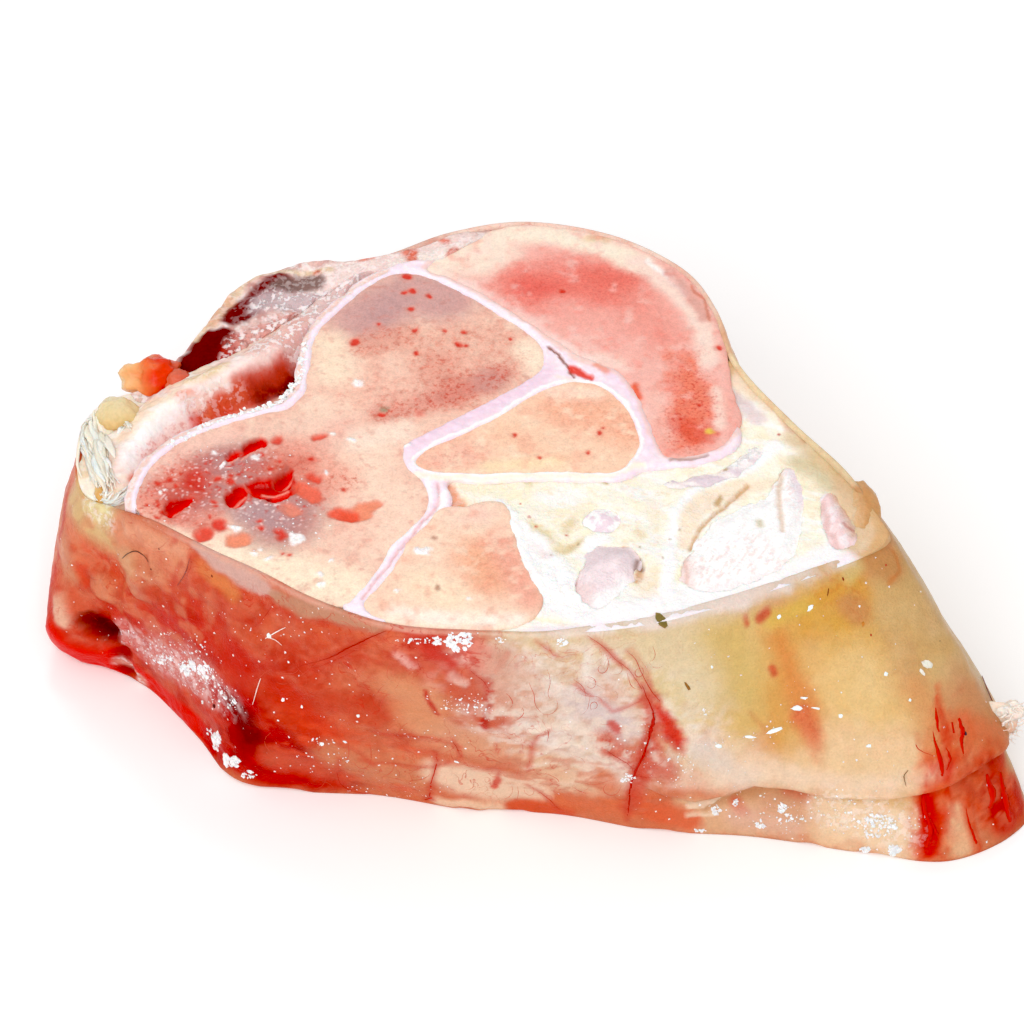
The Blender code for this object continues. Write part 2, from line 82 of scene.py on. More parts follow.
SPLINE_STEPS = 16  # points between two given ones when a closed curve is drawn
HEX_ROW = 0.866  # rows of a hexagonal grid stand this share of its step apart
CLEAR = 0.4  # share of the step by which grid points keep away from an outline
BATCH = 4000  # plan points that are measured at a time
FAR = 1e9

MARKS = ("wet", "red", "frost", "speck", "vein")

# The outer wall: the rim of the sawn side as (x, y, z), and the foot under it as (x, y).
WALL = [
    ((50.0, -20.0, 35.0), (69.6, -36.0)),
    ((45.3, -10.5, 36.0), (62.0, -17.0)),
    ((38.4, -0.6, 36.0), (51.0, -2.0)),
    ((31.5, 11.0, 36.0), (40.0, 13.0)),
    ((28.8, 22.3, 36.0), (36.5, 26.5)),
    ((24.3, 31.0, 36.0), (30.5, 36.5)),
    ((14.5, 38.2, 36.0), (18.0, 43.0)),
    ((2.0, 41.2, 36.0), (4.0, 46.0)),
    ((-9.0, 38.8, 36.0), (-9.5, 44.5)),
    ((-19.0, 35.6, 34.2), (-21.0, 42.0)),
    ((-30.0, 35.8, 31.8), (-33.0, 41.0)),
    ((-39.3, 31.7, 31.0), (-44.0, 36.5)),
    ((-44.6, 22.3, 30.0), (-51.0, 28.0)),
    ((-50.5, 13.8, 29.0), (-57.5, 19.0)),
    ((-57.3, 9.0, 29.0), (-61.5, 11.5)),
    ((-60.0, 1.0, 29.3), (-62.3, 3.0)),
    ((-58.9, -8.0, 29.3), (-62.3, -8.0)),
    ((-54.0, -13.5, 32.0), (-56.0, -13.5)),
    ((-48.5, -19.8, 36.0), (-50.5, -17.5)),
    ((-40.0, -25.5, 36.0), (-43.4, -26.2)),
    ((-33.4, -29.5, 36.0), (-38.0, -34.2)),
    ((-26.0, -34.5, 36.0), (-29.8, -36.0)),
    ((-16.0, -39.0, 36.0), (-18.0, -36.8)),
    ((-5.0, -40.2, 36.0), (-6.0, -39.3)),
    ((6.0, -40.4, 36.0), (6.0, -40.2)),
    ((18.0, -38.6, 36.0), (18.5, -42.8)),
    ((29.8, -34.4, 36.0), (32.0, -44.2)),
    ((40.0, -29.8, 36.0), (46.5, -46.7)),
    ((47.3, -25.5, 35.5), (59.0, -48.5)),
    ((50.2, -22.6, 35.0), (68.6, -43.0)),
]
BULGE = 0.7  # the wall's middle height stands out by this much
LEFT_END = (-62.0, -6.0, 10.0, 1.9)  # it stands out more here: place in plan, reach and amount
RIGHT_END = (60.0, -30.0, 16.0, 1.2)
RED_LUMP = (-61.5, -11.0, 6.5)
RED_LUMP_SIZE = (6.0, 3.0)  # reach and height
SEAM = [  # photograph points along the lip of the overhanging seam
    (666, 788), (693, 794), (712, 791), (730, 786), (756, 778), (798, 782), (829, 790), (860, 791),
    (899, 793), (921, 789), (945, 779), (962, 766), (978, 757), (1003, 744),
]
SEAM_LIP = 1.5
LIP_RISE = 0.4  # the lip is done this far over the seam's course
SEAM_FADE = (3.0, 16.0)  # the lip fades out over these lengths, before its start and past its end
RIPPLE = 0.45  # height of the wall's slow waves

# Plan outlines of the bones, the tendons and the layers around them.
BONE_LARGE = [
    (-50.0, -17.5), (-50.0, -13.5), (-48.5, -9.0), (-45.5, -5.0), (-41.0, -2.0), (-35.5, 0.5),
    (-31.0, 2.0), (-28.8, 5.0), (-28.1, 10.0), (-27.3, 17.0), (-24.5, 21.8), (-20.5, 27.0),
    (-16.0, 30.0), (-11.5, 28.8), (-6.5, 25.3), (-1.5, 20.8), (2.4, 17.0), (4.4, 13.2),
    (3.6, 9.5), (0.0, 6.0), (-5.0, 2.3), (-10.5, -1.8), (-14.5, -5.0), (-14.3, -9.0),
    (-12.3, -12.0), (-11.2, -15.0), (-11.8, -18.5), (-14.2, -21.8), (-16.4, -25.0), (-17.8, -28.8),
    (-19.8, -32.3), (-22.5, -35.0), (-31.0, -32.5), (-40.0, -26.0), (-47.5, -21.5),
]
BONE_UPPER = [
    (-12.0, 31.2), (-7.5, 35.5), (-2.0, 39.5), (5.0, 42.0), (12.5, 40.0), (19.0, 36.0),
    (24.5, 30.0), (28.5, 21.5), (29.6, 14.0), (30.0, 6.5), (31.0, 0.0), (28.9, -4.7),
    (25.0, -7.0), (21.2, -7.4), (19.8, -5.0), (18.7, -0.5), (17.3, 4.5), (15.3, 8.8),
    (12.0, 11.3), (8.5, 13.6), (5.5, 16.6), (1.0, 20.9), (-4.0, 25.6), (-9.0, 29.2),
]
BONE_CENTER = [
    (-13.0, -8.0), (-11.3, -6.0), (-7.5, -3.5), (-3.0, -0.5), (1.0, 3.0), (5.0, 6.2),
    (9.0, 7.4), (12.5, 6.2), (15.0, 3.3), (16.6, -0.5), (17.3, -4.5), (16.2, -7.8),
    (13.5, -10.3), (5.0, -10.3), (-5.0, -10.6), (-10.0, -10.3), (-12.6, -9.3),
]
BONE_FRONT = [
    (-17.2, -31.5), (-15.2, -27.5), (-13.6, -23.5), (-11.2, -20.0), (-9.3, -17.3), (-6.0, -17.0),
    (-2.5, -16.0), (-0.5, -17.8), (0.0, -21.5), (1.0, -26.5), (3.0, -31.5), (3.6, -35.0),
    (1.5, -38.0), (-4.0, -39.4), (-11.0, -39.0), (-17.0, -37.5), (-19.2, -35.0),
]
JOINT = [
    (-51.5, -19.5), (-51.5, -13.0), (-50.0, -8.2), (-46.5, -3.7), (-41.7, -0.4), (-36.0, 2.1),
    (-32.2, 3.5), (-30.4, 6.0), (-29.8, 10.5), (-28.8, 17.6), (-25.8, 23.0), (-21.6, 28.4),
    (-16.6, 31.9), (-11.5, 32.9), (-6.0, 31.0), (3.0, 22.5), (12.0, 15.0), (20.0, 9.0),
    (24.5, 2.0), (30.8, -1.4), (30.0, -5.8), (25.5, -8.6), (20.5, -9.2), (17.6, -9.6),
    (14.0, -11.7), (5.0, -11.7), (-5.0, -12.0), (-8.6, -12.0), (-8.2, -16.0), (-9.8, -21.0),
    (-12.8, -27.0), (-15.4, -33.0), (-17.2, -40.0), (-22.0, -40.0), (-24.0, -32.0), (-46.0, -18.0),
]
FAT_PAD = [
    (-3.0, -45.0), (-3.0, -20.0), (-11.0, -19.0), (-12.0, -8.0), (14.0, -5.0), (23.0, 0.0),
    (25.0, 12.0), (34.0, 10.0), (46.0, -4.0), (55.0, -20.0), (50.0, -30.0), (22.0, -45.0),
]
TENDON_ROUND = [
    (12.3, -23.5), (15.5, -24.0), (17.0, -26.5), (15.8, -30.2), (13.0, -34.2),
    (10.7, -35.8), (8.7, -33.5), (8.0, -30.5), (9.2, -27.0), (10.5, -24.5),
]
TENDON_SMALL = [(9.3, -19.2), (10.9, -16.9), (13.4, -17.0), (14.7, -19.2), (13.2, -21.4), (10.6, -21.2)]
TENDON_BROAD = [
    (22.5, -31.0), (22.2, -27.5), (24.0, -24.0), (26.3, -19.8), (30.0, -17.0), (33.8, -14.7),
    (35.2, -11.5), (36.4, -8.9), (38.0, -9.0), (38.9, -12.5), (39.0, -17.0), (38.4, -22.0),
    (37.0, -26.0), (34.5, -29.0), (31.0, -31.0), (26.0, -32.3),
]
TENDON_FLAT = [
    (21.0, -11.8), (24.0, -10.6), (28.0, -9.2), (31.0, -6.6), (33.0, -4.8),
    (33.9, -6.2), (32.3, -8.8), (29.8, -11.2), (25.2, -13.0), (21.6, -13.0),
]
TENDON_EDGE = [
    (41.3, -14.2), (43.3, -14.0), (44.9, -18.4), (45.2, -23.0), (43.8, -24.8), (42.2, -24.0),
    (41.4, -21.5), (40.9, -18.0),
]
CAPSULE = [
    (-51.0, -13.5), (-54.5, -12.0), (-56.6, -6.0), (-56.6, 0.0), (-54.0, 5.0), (-49.5, 10.0),
    (-44.5, 14.3), (-39.5, 17.5), (-34.5, 21.5), (-30.0, 25.8), (-25.5, 30.2), (-20.5, 32.4),
    (-19.0, 28.0), (-26.0, 16.0), (-28.0, 3.0), (-46.0, -6.0),
]
MUSCLE = [
    (-50.0, 9.5), (-53.5, 18.0), (-44.0, 30.0), (-30.0, 40.0), (-6.0, 42.0), (-4.0, 34.5),
    (-14.0, 28.0), (-30.0, 20.0),
]
LIGAMENT = [(-48.5, 8.0), (-54.0, 20.0), (-68.0, 8.0), (-66.0, -14.0), (-52.0, -20.0), (-50.0, -14.0)]
CAPSULE_CREST = [
    (-53.8, -10.0), (-53.2, -2.0), (-50.0, 4.5), (-44.5, 9.7),
    (-38.5, 13.7), (-33.5, 18.0), (-29.0, 23.0), (-24.5, 28.5),
]
CREST_HEIGHT = (33.0, 31.5)  # on the right and at the left end
CREST_SLOPE = (5.0, 1.8)  # how far and how deep the crest falls outwards
CAVITY_FLOOR = (28.0, 28.5)  # on the right and at the left end
CAVITY_REACH = 4.5
LIGAMENT_HEIGHT = 29.6
FAT_LOBES = [  # place in plan, reach and height
    (-55.6, 6.8, 2.6, 1.4), (-56.2, -8.5, 2.4, 1.0),
]

# Colours as the photograph shows them, red, green and blue from 0 to 255.
WHITE = (255, 253, 252)
LILAC = (250, 228, 238)
FROST_WHITE = (252, 244, 244)
BONE_PEACH = (243, 200, 180)
BLOOD = (222, 18, 4)
MARROW_SHADE = (150, 8, 6)
SALMON = (236, 105, 80)
ROSE = (244, 184, 172)
ROSE_DEEP = (236, 118, 104)
CAPSULE_CREAM = (252, 226, 202)


def linear(color):
    """A photograph colour as the linear colour that the shader takes."""
    value = np.asarray(color, float) / 255
    return np.where(value <= 0.04045, value / 12.92, ((value + 0.055) / 1.055) ** 2.4)


def smooth(value):
    value = np.clip(value, 0.0, 1.0)
    return value * value * (3 - 2 * value)


def mix(ends, share):
    return ends[0] + (ends[1] - ends[0]) * share


def lattice(cell, seed):
    """A fixed value from 0 to 1 for each whole-numbered cell."""
    mixed = (cell[..., 0] * 73856093) ^ (cell[..., 1] * 19349663) ^ (cell[..., 2] * 83492791)
    mixed = ((mixed ^ (seed * 40503)) & 0x7FFFFFFF) * 48271 % 0x7FFFFFFF
    mixed = (mixed ^ (mixed >> 11)) * 69621 % 0x7FFFFFFF
    return (mixed & 0xFFFF) / 65535.0


def noise(points, size, seed, octaves=3):
    """Soft noise from 0 to 1 over points, with blotches of about size."""
    points = np.asarray(points, float)
    if points.shape[1] == 2:
        points = np.column_stack([points, np.zeros(len(points))])
    total, weights = np.zeros(len(points)), 0.0
    for octave in range(octaves):
        scaled = points / size * 2**octave + 13.7 * (seed + octave)
        cell = np.floor(scaled).astype(np.int64)
        part = smooth(scaled - cell)
        value = np.zeros(len(points))
        for corner in itertools.product((0, 1), repeat=3):
            share = np.prod(np.where(np.array(corner) == 1, part, 1 - part), axis=1)
            value += share * lattice(cell + np.array(corner), seed + octave)
        total += value / 2**octave
        weights += 1 / 2**octave
    return total / weights


def band(value, low, high):
    """Rises softly from 0 at low to 1 at high."""
    return smooth((value - low) / (high - low))


def line_gap(points, line, widths):
    """How far points lie outside a line that is as wide as widths say at its points."""
    if len(line) == 1:
        return np.linalg.norm(points - line[0], axis=1) - widths[0] / 2
    gap = np.full(len(points), FAR)
    for a, b, wide_a, wide_b in zip(line, line[1:], widths, widths[1:]):
        along = b - a
        share = np.clip((points - a) @ along / max(along @ along, 1e-9), 0.0, 1.0)
        away = np.linalg.norm(points - a - share[:, None] * along, axis=1)
        gap = np.minimum(gap, away - (wide_a + (wide_b - wide_a) * share) / 2)
    return gap


def loop_gap(points, loop):
    """Distance from each plan point to the nearest side of a closed loop."""
    ends = np.roll(loop, -1, 0)
    along = ends - loop
    square = (along**2).sum(1)
    gap = np.empty(len(points))
    for start in range(0, len(points), BATCH):
        part = points[start:start + BATCH]
        offset = part[:, None, :] - loop[None]
        share = np.clip((offset * along).sum(2) / square, 0.0, 1.0)
        gap[start:start + BATCH] = np.linalg.norm(offset - along * share[..., None], axis=2).min(1)
    return gap


def in_loop(points, loop):
    """True for each plan point inside a closed loop."""
    inside = np.zeros(len(points), bool)
    x, y = points[:, 0], points[:, 1]
    for (ax, ay), (bx, by) in zip(loop, np.roll(loop, -1, 0)):
        if ay == by:
            continue
        crosses = (ay > y) != (by > y)
        inside ^= crosses & (x < ax + (y - ay) * (bx - ax) / (by - ay))
    return inside


def closed_spline(rows, count):
    """Rows of numbers as a closed Catmull-Rom curve, read at count points equally far apart in plan."""
    rows = np.asarray(rows, float)
    steps = np.linspace(0.0, 1.0, SPLINE_STEPS, endpoint=False)[:, None]
    before, after, beyond = np.roll(rows, 1, 0), np.roll(rows, -1, 0), np.roll(rows, -2, 0)
    fine = []
    for a, b, c, d in zip(before, rows, after, beyond):
        fine.append(0.5 * (2 * b + (c - a) * steps + (2 * a - 5 * b + 4 * c - d) * steps**2
                           + (3 * b - a - 3 * c + d) * steps**3))
    fine = np.vstack(fine + [rows[:1]])
    run = np.concatenate([[0.0], np.cumsum(np.hypot(*np.diff(fine[:, :2], axis=0).T))])
    wanted = np.linspace(0.0, run[-1], count, endpoint=False)
    return np.column_stack([np.interp(wanted, run, column) for column in fine.T])


def open_spline(rows, step):
    """Rows of numbers as an open smooth curve with points about step apart."""
    rows = np.asarray(rows, float)
    if len(rows) < 3:
        count = max(2, int(np.linalg.norm(rows[-1] - rows[0]) / step) + 1)
        return rows[0] + (rows[-1] - rows[0]) * np.linspace(0, 1, count)[:, None]
    padded = np.vstack([2 * rows[0] - rows[1], rows, 2 * rows[-1] - rows[-2]])
    fine = []
    for a, b, c, d in zip(padded, padded[1:], padded[2:], padded[3:]):
        count = max(2, int(np.linalg.norm(c - b) / step) + 1)
        t = np.linspace(0, 1, count, endpoint=False)[:, None]
        fine.append(0.5 * (2 * b + (c - a) * t + (2 * a - 5 * b + 4 * c - d) * t**2
                           + (3 * b - a - 3 * c + d) * t**3))
    return np.vstack(fine + [rows[-1:]])


def outline(points, ragged=0.0, step=OUTLINE_STEP):
    """A piece's outline in plan, smooth and counter-clockwise, with small random waves."""
    corners = np.asarray(points, float)
    length = np.hypot(*(np.roll(corners, -1, 0) - corners).T).sum()
    loop = closed_spline(corners, max(24, round(length / step)))
    x, y = loop[:, 0], loop[:, 1]
    area = np.sum(x * np.roll(y, -1) - np.roll(x, -1) * y)
    loop = loop if area > 0 else loop[::-1]
    waves = noise(loop, 1.6, 77, 3) - 0.5
    return loop + outward(loop, 3) * (2 * ragged * waves)[:, None]


def outward(loop, reach=1):
    """Unit normals of a counter-clockwise loop, pointing out."""
    along = np.roll(loop[:, :2], -reach, 0) - np.roll(loop[:, :2], reach, 0)
    along /= np.hypot(*along.T)[:, None]
    return np.column_stack([along[:, 1], -along[:, 0]])


def grown(loop, amount):
    """A closed loop moved outwards by an amount."""
    moved = loop.copy()
    moved[:, :2] += outward(loop, 3) * amount
    return moved


def lean(points):
    """Plan points with a height, moved as the joint drifts towards its foot."""
    share = (SLAB - points[:, 2]) / SLAB
    x = points[:, 0] + share * (LEAN_X[0] + LEAN_X[1] * points[:, 0])
    y = points[:, 1] + share * (LEAN_Y[0] + LEAN_Y[1] * points[:, 1])
    return np.column_stack([x, y, points[:, 2]])


def near(x, y, place):
    """A soft hump in plan: place is its middle, reach and height."""
    cx, cy, reach, amount = place
    return amount * np.exp(-((x - cx) ** 2 + (y - cy) ** 2) / reach**2)


def unevenness(x, y):
    """Slow soft waves, from -1 to 1."""
    first = np.sin(0.55 * x + 0.9 * np.sin(0.31 * y))
    second = np.sin(0.62 * y + 1.3 * np.sin(0.27 * x))
    return 0.5 * (first + second)


def sight(u, v):
    """Direction from the photograph's camera through one of its points."""
    size = PIXEL * PHOTO_SIZE / 2
    way = -BACK * VIEW_DISTANCE
    way = way + RIGHT * size * (2 * u / PHOTO_SIZE - 1) + UP * size * (1 - 2 * v / PHOTO_SIZE)
    return way / np.linalg.norm(way)


def on_level(level):
    """Sends photograph points to the plan at a height."""
    def place(u, v):
        way = sight(u, v)
        return (EYE + way * (level - EYE[2]) / way[2])[:2]
    return place


def on_relief(level, start):
    """The same for an uneven upper face, whose height at a place in plan level gives."""
    def place(u, v):
        z = start
        for _ in range(5):
            spot = on_level(z)(u, v)
            z = 0.5 * (z + float(level(np.array([spot]), np.array([9.0]))[0]))
        return spot
    return place


def to_frame(points):
    """Plan millimetres as the frame's metres."""
    return (np.asarray(points, float) - (*MIDDLE, 0.0)) * MM


class Target:
    """A surface that photograph points can be sent onto."""

    def __init__(self, points, faces):
        self.tree = BVHTree.FromPolygons([Vector(p) for p in points], faces)

    def hit(self, u, v):
        """Place and normal of the surface under a photograph point; None where it misses."""
        place, normal, _, _ = self.tree.ray_cast(Vector(EYE), Vector(sight(u, v)))
        if place is None:
            return None
        normal = np.array(normal)
        return np.array(place), normal if normal @ BACK > 0 else -normal

    def place(self, u, v):
        found = self.hit(u, v)
        if found is None:
            nearest = self.tree.find_nearest(Vector(EYE + sight(u, v) * VIEW_DISTANCE))
            return np.array(nearest[0])
        return found[0]


def joined(patches):
    """Several (points, triangles) patches as one."""
    points, faces, start = [], [], 0
    for patch, triangles in patches:
        points.append(patch)
        faces += (np.asarray(triangles) + start).tolist()
        start += len(patch)
    return np.vstack(points), faces


class Skin:
    """Points of a surface with what strokes leave on them.

    Besides the colour these are the MARKS, which the shader turns into gloss, fine red flecks, white
    frost, small white crumbs and fine red veins, and relief (height over the surface).
    """

    def __init__(self, points, place, color, flat=False, seed=1):
        self.points = points
        self.measure = points[:, :2] if flat else points
        self.place = place
        self.tint = np.tile(linear(color), (len(points), 1))
        self.marks = {key: np.zeros(len(points)) for key in (*MARKS, "relief")}
        self.coarse = self.wander(2.6, seed)
        self.fine = self.wander(0.8, seed + 40)

    def wander(self, size, seed):
        parts = [noise(self.points, size, seed + 7 * k, 2) - 0.5 for k in range(self.measure.shape[1])]
        return np.column_stack(parts) * 2

    def lay(self, index, mask, color, **marks):
        if color is not None:
            self.tint[index] += (linear(color) - self.tint[index]) * mask[:, None]
        for key, amount in marks.items():
            channel = self.marks[key]
            channel[index] += amount * mask if key == "relief" else (amount - channel[index]) * mask

    def mask(self, pixels, width, edge, wobble):
        """Indices of the points near a stroke, and how much of it each of them takes.

        The stroke is a list of photograph points, or an array of places on the surface.
        """
        line = pixels if isinstance(pixels, np.ndarray) else np.array([self.place(u, v) for u, v in pixels])
        widths = [width] * len(line) if np.isscalar(width) else list(width)
        reach = max(widths) / 2 + edge + 2 * wobble + 0.2
        close = (self.measure > line.min(0) - reach) & (self.measure < line.max(0) + reach)
        index = np.nonzero(close.all(axis=1))[0]
        moved = self.measure[index] + wobble * (self.coarse[index] + 0.5 * self.fine[index])
        return index, smooth(0.5 - line_gap(moved, line, widths) / edge)

    def stroke(self, pixels, width, color, edge, strength, wobble=0.5, **marks):
        index, mask = self.mask(pixels, width, edge, wobble)
        self.lay(index, mask * strength, color, **marks)

    def cloud(self, color, size, low, high, strength, seed, within=None, stretch=None):
        """Blotches of a colour all over, or inside a stroke given as (pixels, width, edge)."""
        if within is None:
            index, mask = np.arange(len(self.points)), np.ones(len(self.points))
        else:
            index, mask = self.mask(*within, 0.6)
        points = self.points[index] if stretch is None else self.points[index] @ stretch
        self.lay(index, mask * strength * band(noise(points, size, seed), low, high), color)

    def strokes(self, rows):
        """Rows of (pixels, width, edge, color, strength) and, where needed, a dict of marks."""
        for pixels, width, edge, color, strength, *marks in rows:
            self.stroke(pixels, width, color, edge, strength, **(marks[0] if marks else {}))


WET_ROUGHNESS = 0.12
DRY_SHARE = 0.7  # roughness of frost and crumbs
CRUMB_CELL = 0.45  # one crumb at most lies in each cell of this size
CRUMB_SIZES = (0.1, 0.4)  # shares of a cell
CRUMB_EDGE = 0.03
VEIN_EDGES = (0.003, 0.013)  # where the colour of a fine vein begins to fade, and where it ends


def tissue(name, red, fleck, grain, grain_share, gloss, bump, rough=0.42, scatter=0.6, vein=None, depth=0.35):
    """A moist tissue: painted colour with red flecks, veins, frost, crumbs and fine grain, and gloss.

    red is the colour of the flecks and veins and fleck the size of the flecks, grain the size and
    grain_share the strength of the finest unevenness, bump its height, vein the size of the meshes
    between fine veins, and scatter and depth the reach and share of the light under the surface.
    Sizes are millimetres.
    """
    material = bpy.data.materials.new(name)
    material.use_nodes = True
    nodes, links = material.node_tree.nodes, material.node_tree.links
    shader = nodes["Principled BSDF"]
    place = nodes.new("ShaderNodeTexCoord").outputs["Object"]

    def painted(key):
        node = nodes.new("ShaderNodeAttribute")
        node.attribute_name = key
        return node.outputs["Color" if key == "tint" else "Fac"]

    def textured(kind, size, **values):
        node = nodes.new(kind)
        node.inputs["Scale"].default_value = 1 / (size * MM)
        for key, value in values.items():
            node.inputs[key].default_value = value
        links.new(place, node.inputs["Vector"])
        return node.outputs

    def speckled(size, low, high, detail=3.0, rough=0.6):
        fac = textured("ShaderNodeTexNoise", size, Detail=detail, Roughness=rough)["Fac"]
        return map_range(nodes, links, fac, low, high, 0.0, 1.0)

    def combine(operation, first, second=0.0):
        node = nodes.new("ShaderNodeMath")
        node.operation = operation
        for value, socket in zip((first, second), node.inputs):
            if hasattr(value, "links"):
                links.new(value, socket)
            else:
                socket.default_value = value
        return node.outputs["Value"]

    def toward(share, color, other):
        node = nodes.new("ShaderNodeMix")
        node.data_type = "RGBA"
        first, second = [socket for socket in node.inputs if socket.type == "RGBA"]
        links.new(share, node.inputs[0])
        links.new(color, first)
        second.default_value = (*linear(other), 1.0)
        return next(socket for socket in node.outputs if socket.type == "RGBA")

    def crumbed():
        cells = textured("ShaderNodeTexVoronoi", CRUMB_CELL)
        parts = nodes.new("ShaderNodeSeparateColor")
        links.new(cells["Color"], parts.inputs["Color"])
        there = combine("LESS_THAN", parts.outputs["Red"], painted("speck"))
        share = combine("POWER", parts.outputs["Green"], 2.0)
        size = map_range(nodes, links, share, 0.0, 1.0, *CRUMB_SIZES)
        ragged = textured("ShaderNodeTexNoise", 0.14, Detail=2.0)["Fac"]
        off = combine("ADD", cells["Distance"], combine("MULTIPLY", combine("SUBTRACT", ragged, 0.5), 0.8))
        edge = map_range(nodes, links, combine("SUBTRACT", size, off), -CRUMB_EDGE, CRUMB_EDGE, 0.0, 1.0)
        return combine("MULTIPLY", there, edge)

    def veined():
        waves = textured("ShaderNodeTexNoise", vein, Detail=3.0, Roughness=0.55, Distortion=0.8)["Fac"]
        off = combine("ABSOLUTE", combine("SUBTRACT", waves, 0.5))
        line = map_range(nodes, links, off, *VEIN_EDGES, 1.0, 0.0)
        line = combine("MULTIPLY", line, speckled(2.2 * vein, 0.42, 0.6))
        return combine("MULTIPLY", line, painted("vein"))

    flecks = combine("MULTIPLY", speckled(fleck, 0.5, 0.66), painted("red"))
    frost = combine("MULTIPLY", speckled(1.0, 0.5, 0.55, 3.5, 0.62), painted("frost"))
    crumbs_seen = crumbed()
    color = toward(flecks, painted("tint"), red)
    if vein:
        color = toward(veined(), color, red)
    white = combine("MAXIMUM", frost, crumbs_seen)
    color = toward(white, color, FROST_WHITE)
    fine = combine("MULTIPLY", speckled(grain, 0.3, 0.7, 4.0), 0.6)
    fine = combine("ADD", fine, combine("MULTIPLY", speckled(4 * grain, 0.35, 0.65), 0.4))
    scale = nodes.new("ShaderNodeVectorMath")
    scale.operation = "SCALE"
    links.new(color, scale.inputs[0])
    grains = map_range(nodes, links, fine, 0.0, 1.0, 1 - grain_share, 1 + grain_share)
    links.new(grains, scale.inputs["Scale"])
    links.new(scale.outputs["Vector"], shader.inputs["Base Color"])

    wet = painted("wet")
    moist = map_range(nodes, links, wet, 0.0, 1.0, rough, WET_ROUGHNESS)
    dry = combine("MULTIPLY", white, DRY_SHARE)
    links.new(combine("MAXIMUM", moist, dry), shader.inputs["Roughness"])
    links.new(combine("MULTIPLY", wet, 0.25), shader.inputs["Coat Weight"])
    shader.inputs["Coat Roughness"].default_value = 0.08
    shader.inputs["Specular IOR Level"].default_value = gloss
    shader.inputs["Subsurface Weight"].default_value = depth
    shader.inputs["Subsurface Radius"].default_value = (1.0, 0.4, 0.3)
    shader.inputs["Subsurface Scale"].default_value = scatter * MM

    ridge = nodes.new("ShaderNodeBump")
    ridge.inputs["Strength"].default_value = 1.0
    ridge.inputs["Distance"].default_value = bump * MM
    links.new(combine("ADD", fine, combine("MULTIPLY", white, 2.0)), ridge.inputs["Height"])
    links.new(ridge.outputs["Normal"], shader.inputs["Normal"])
    return material


def map_range(nodes, links, value, low, high, to_low, to_high):
    node = nodes.new("ShaderNodeMapRange")
    for key, number in zip(("From Min", "From Max", "To Min", "To Max"), (low, high, to_low, to_high)):
        node.inputs[key].default_value = number
    links.new(value, node.inputs["Value"])
    return node.outputs["Result"]


def add_piece(name, points, faces, tint, marks, material, node, slot, rounded=True):
    """A mesh piece in plan millimetres that rides on the part's one body."""
    mesh = bpy.data.meshes.new(name)
    mesh.from_pydata(to_frame(points).tolist(), [], faces)
    colors = np.column_stack([tint, np.ones(len(tint))]).astype(np.float32)
    layer = mesh.attributes.new("tint", "FLOAT_COLOR", "POINT")
    layer.data.foreach_set("color", colors.ravel())
    for key in MARKS:
        layer = mesh.attributes.new(key, "FLOAT", "POINT")
        layer.data.foreach_set("value", marks[key].astype(np.float32))
    mesh.materials.append(material)
    if rounded:
        mesh.shade_smooth()
    piece = bpy.data.objects.new(name, mesh)
    bpy.context.scene.collection.objects.link(piece)
    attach(piece, "root")
    if node:
        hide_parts(node)


def hex_grid(low, high, step):
    """Plan points about step apart that fill a box."""
    rows = []
    for row, y in enumerate(np.arange(low[1], high[1], step * HEX_ROW)):
        x = np.arange(low[0] + 0.5 * step * (row % 2), high[0], step)
        rows.append(np.column_stack([x, np.full(len(x), y)]))
    return np.vstack(rows)


def plan_region(inside, outside, step):
    """Points and triangles of the plan area in every loop of inside and in none of outside."""
    grid = hex_grid(inside[0].min(0), inside[0].max(0), step)
    for loop in inside:
        grid = grid[in_loop(grid, grown(loop, -CLEAR * step))]
    for loop in outside:
        grid = grid[~in_loop(grid, grown(loop, CLEAR * step))]
    points, faces = [], []
    for loop in [*inside, *outside]:
        faces.append(list(range(len(points), len(points) + len(loop))))
        points += [Vector(p) for p in loop]
    points += [Vector(p) for p in grid]
    verts, _, triangles, _, _, parents = delaunay_2d_cdt(points, [], faces, 1, 1e-4)
    wanted = set(range(len(inside)))
    kept = [tuple(t) for t, owners in zip(triangles, parents) if set(owners) == wanted]
    return tidy_region(np.array([tuple(v) for v in verts]), largest_patch(kept))


def largest_patch(triangles):
    """The biggest group of triangles that share corners; loose scraps are dropped."""
    owner = {}

    def root(n):
        while owner.setdefault(n, n) != n:
            owner[n] = owner[owner[n]]
            n = owner[n]
        return n

    for a, b, c in triangles:
        owner[root(b)] = root(a)
        owner[root(c)] = root(a)
    sizes = {}
    for triangle in triangles:
        sizes[root(triangle[0])] = sizes.get(root(triangle[0]), 0) + 1
    best = max(sizes, key=sizes.get)
    return [triangle for triangle in triangles if root(triangle[0]) == best]


def tidy_region(points, triangles):
    """Drops unused points and turns every triangle counter-clockwise."""
    triangles = np.array(triangles)
    used, flat = np.unique(triangles, return_inverse=True)
    triangles = flat.reshape(triangles.shape)
    points = points[used]
    a, b, c = (points[triangles[:, k]] for k in range(3))
    turned = (b[:, 0] - a[:, 0]) * (c[:, 1] - a[:, 1]) - (b[:, 1] - a[:, 1]) * (c[:, 0] - a[:, 0]) < 0
    triangles[turned] = triangles[turned][:, ::-1]
    return points, triangles


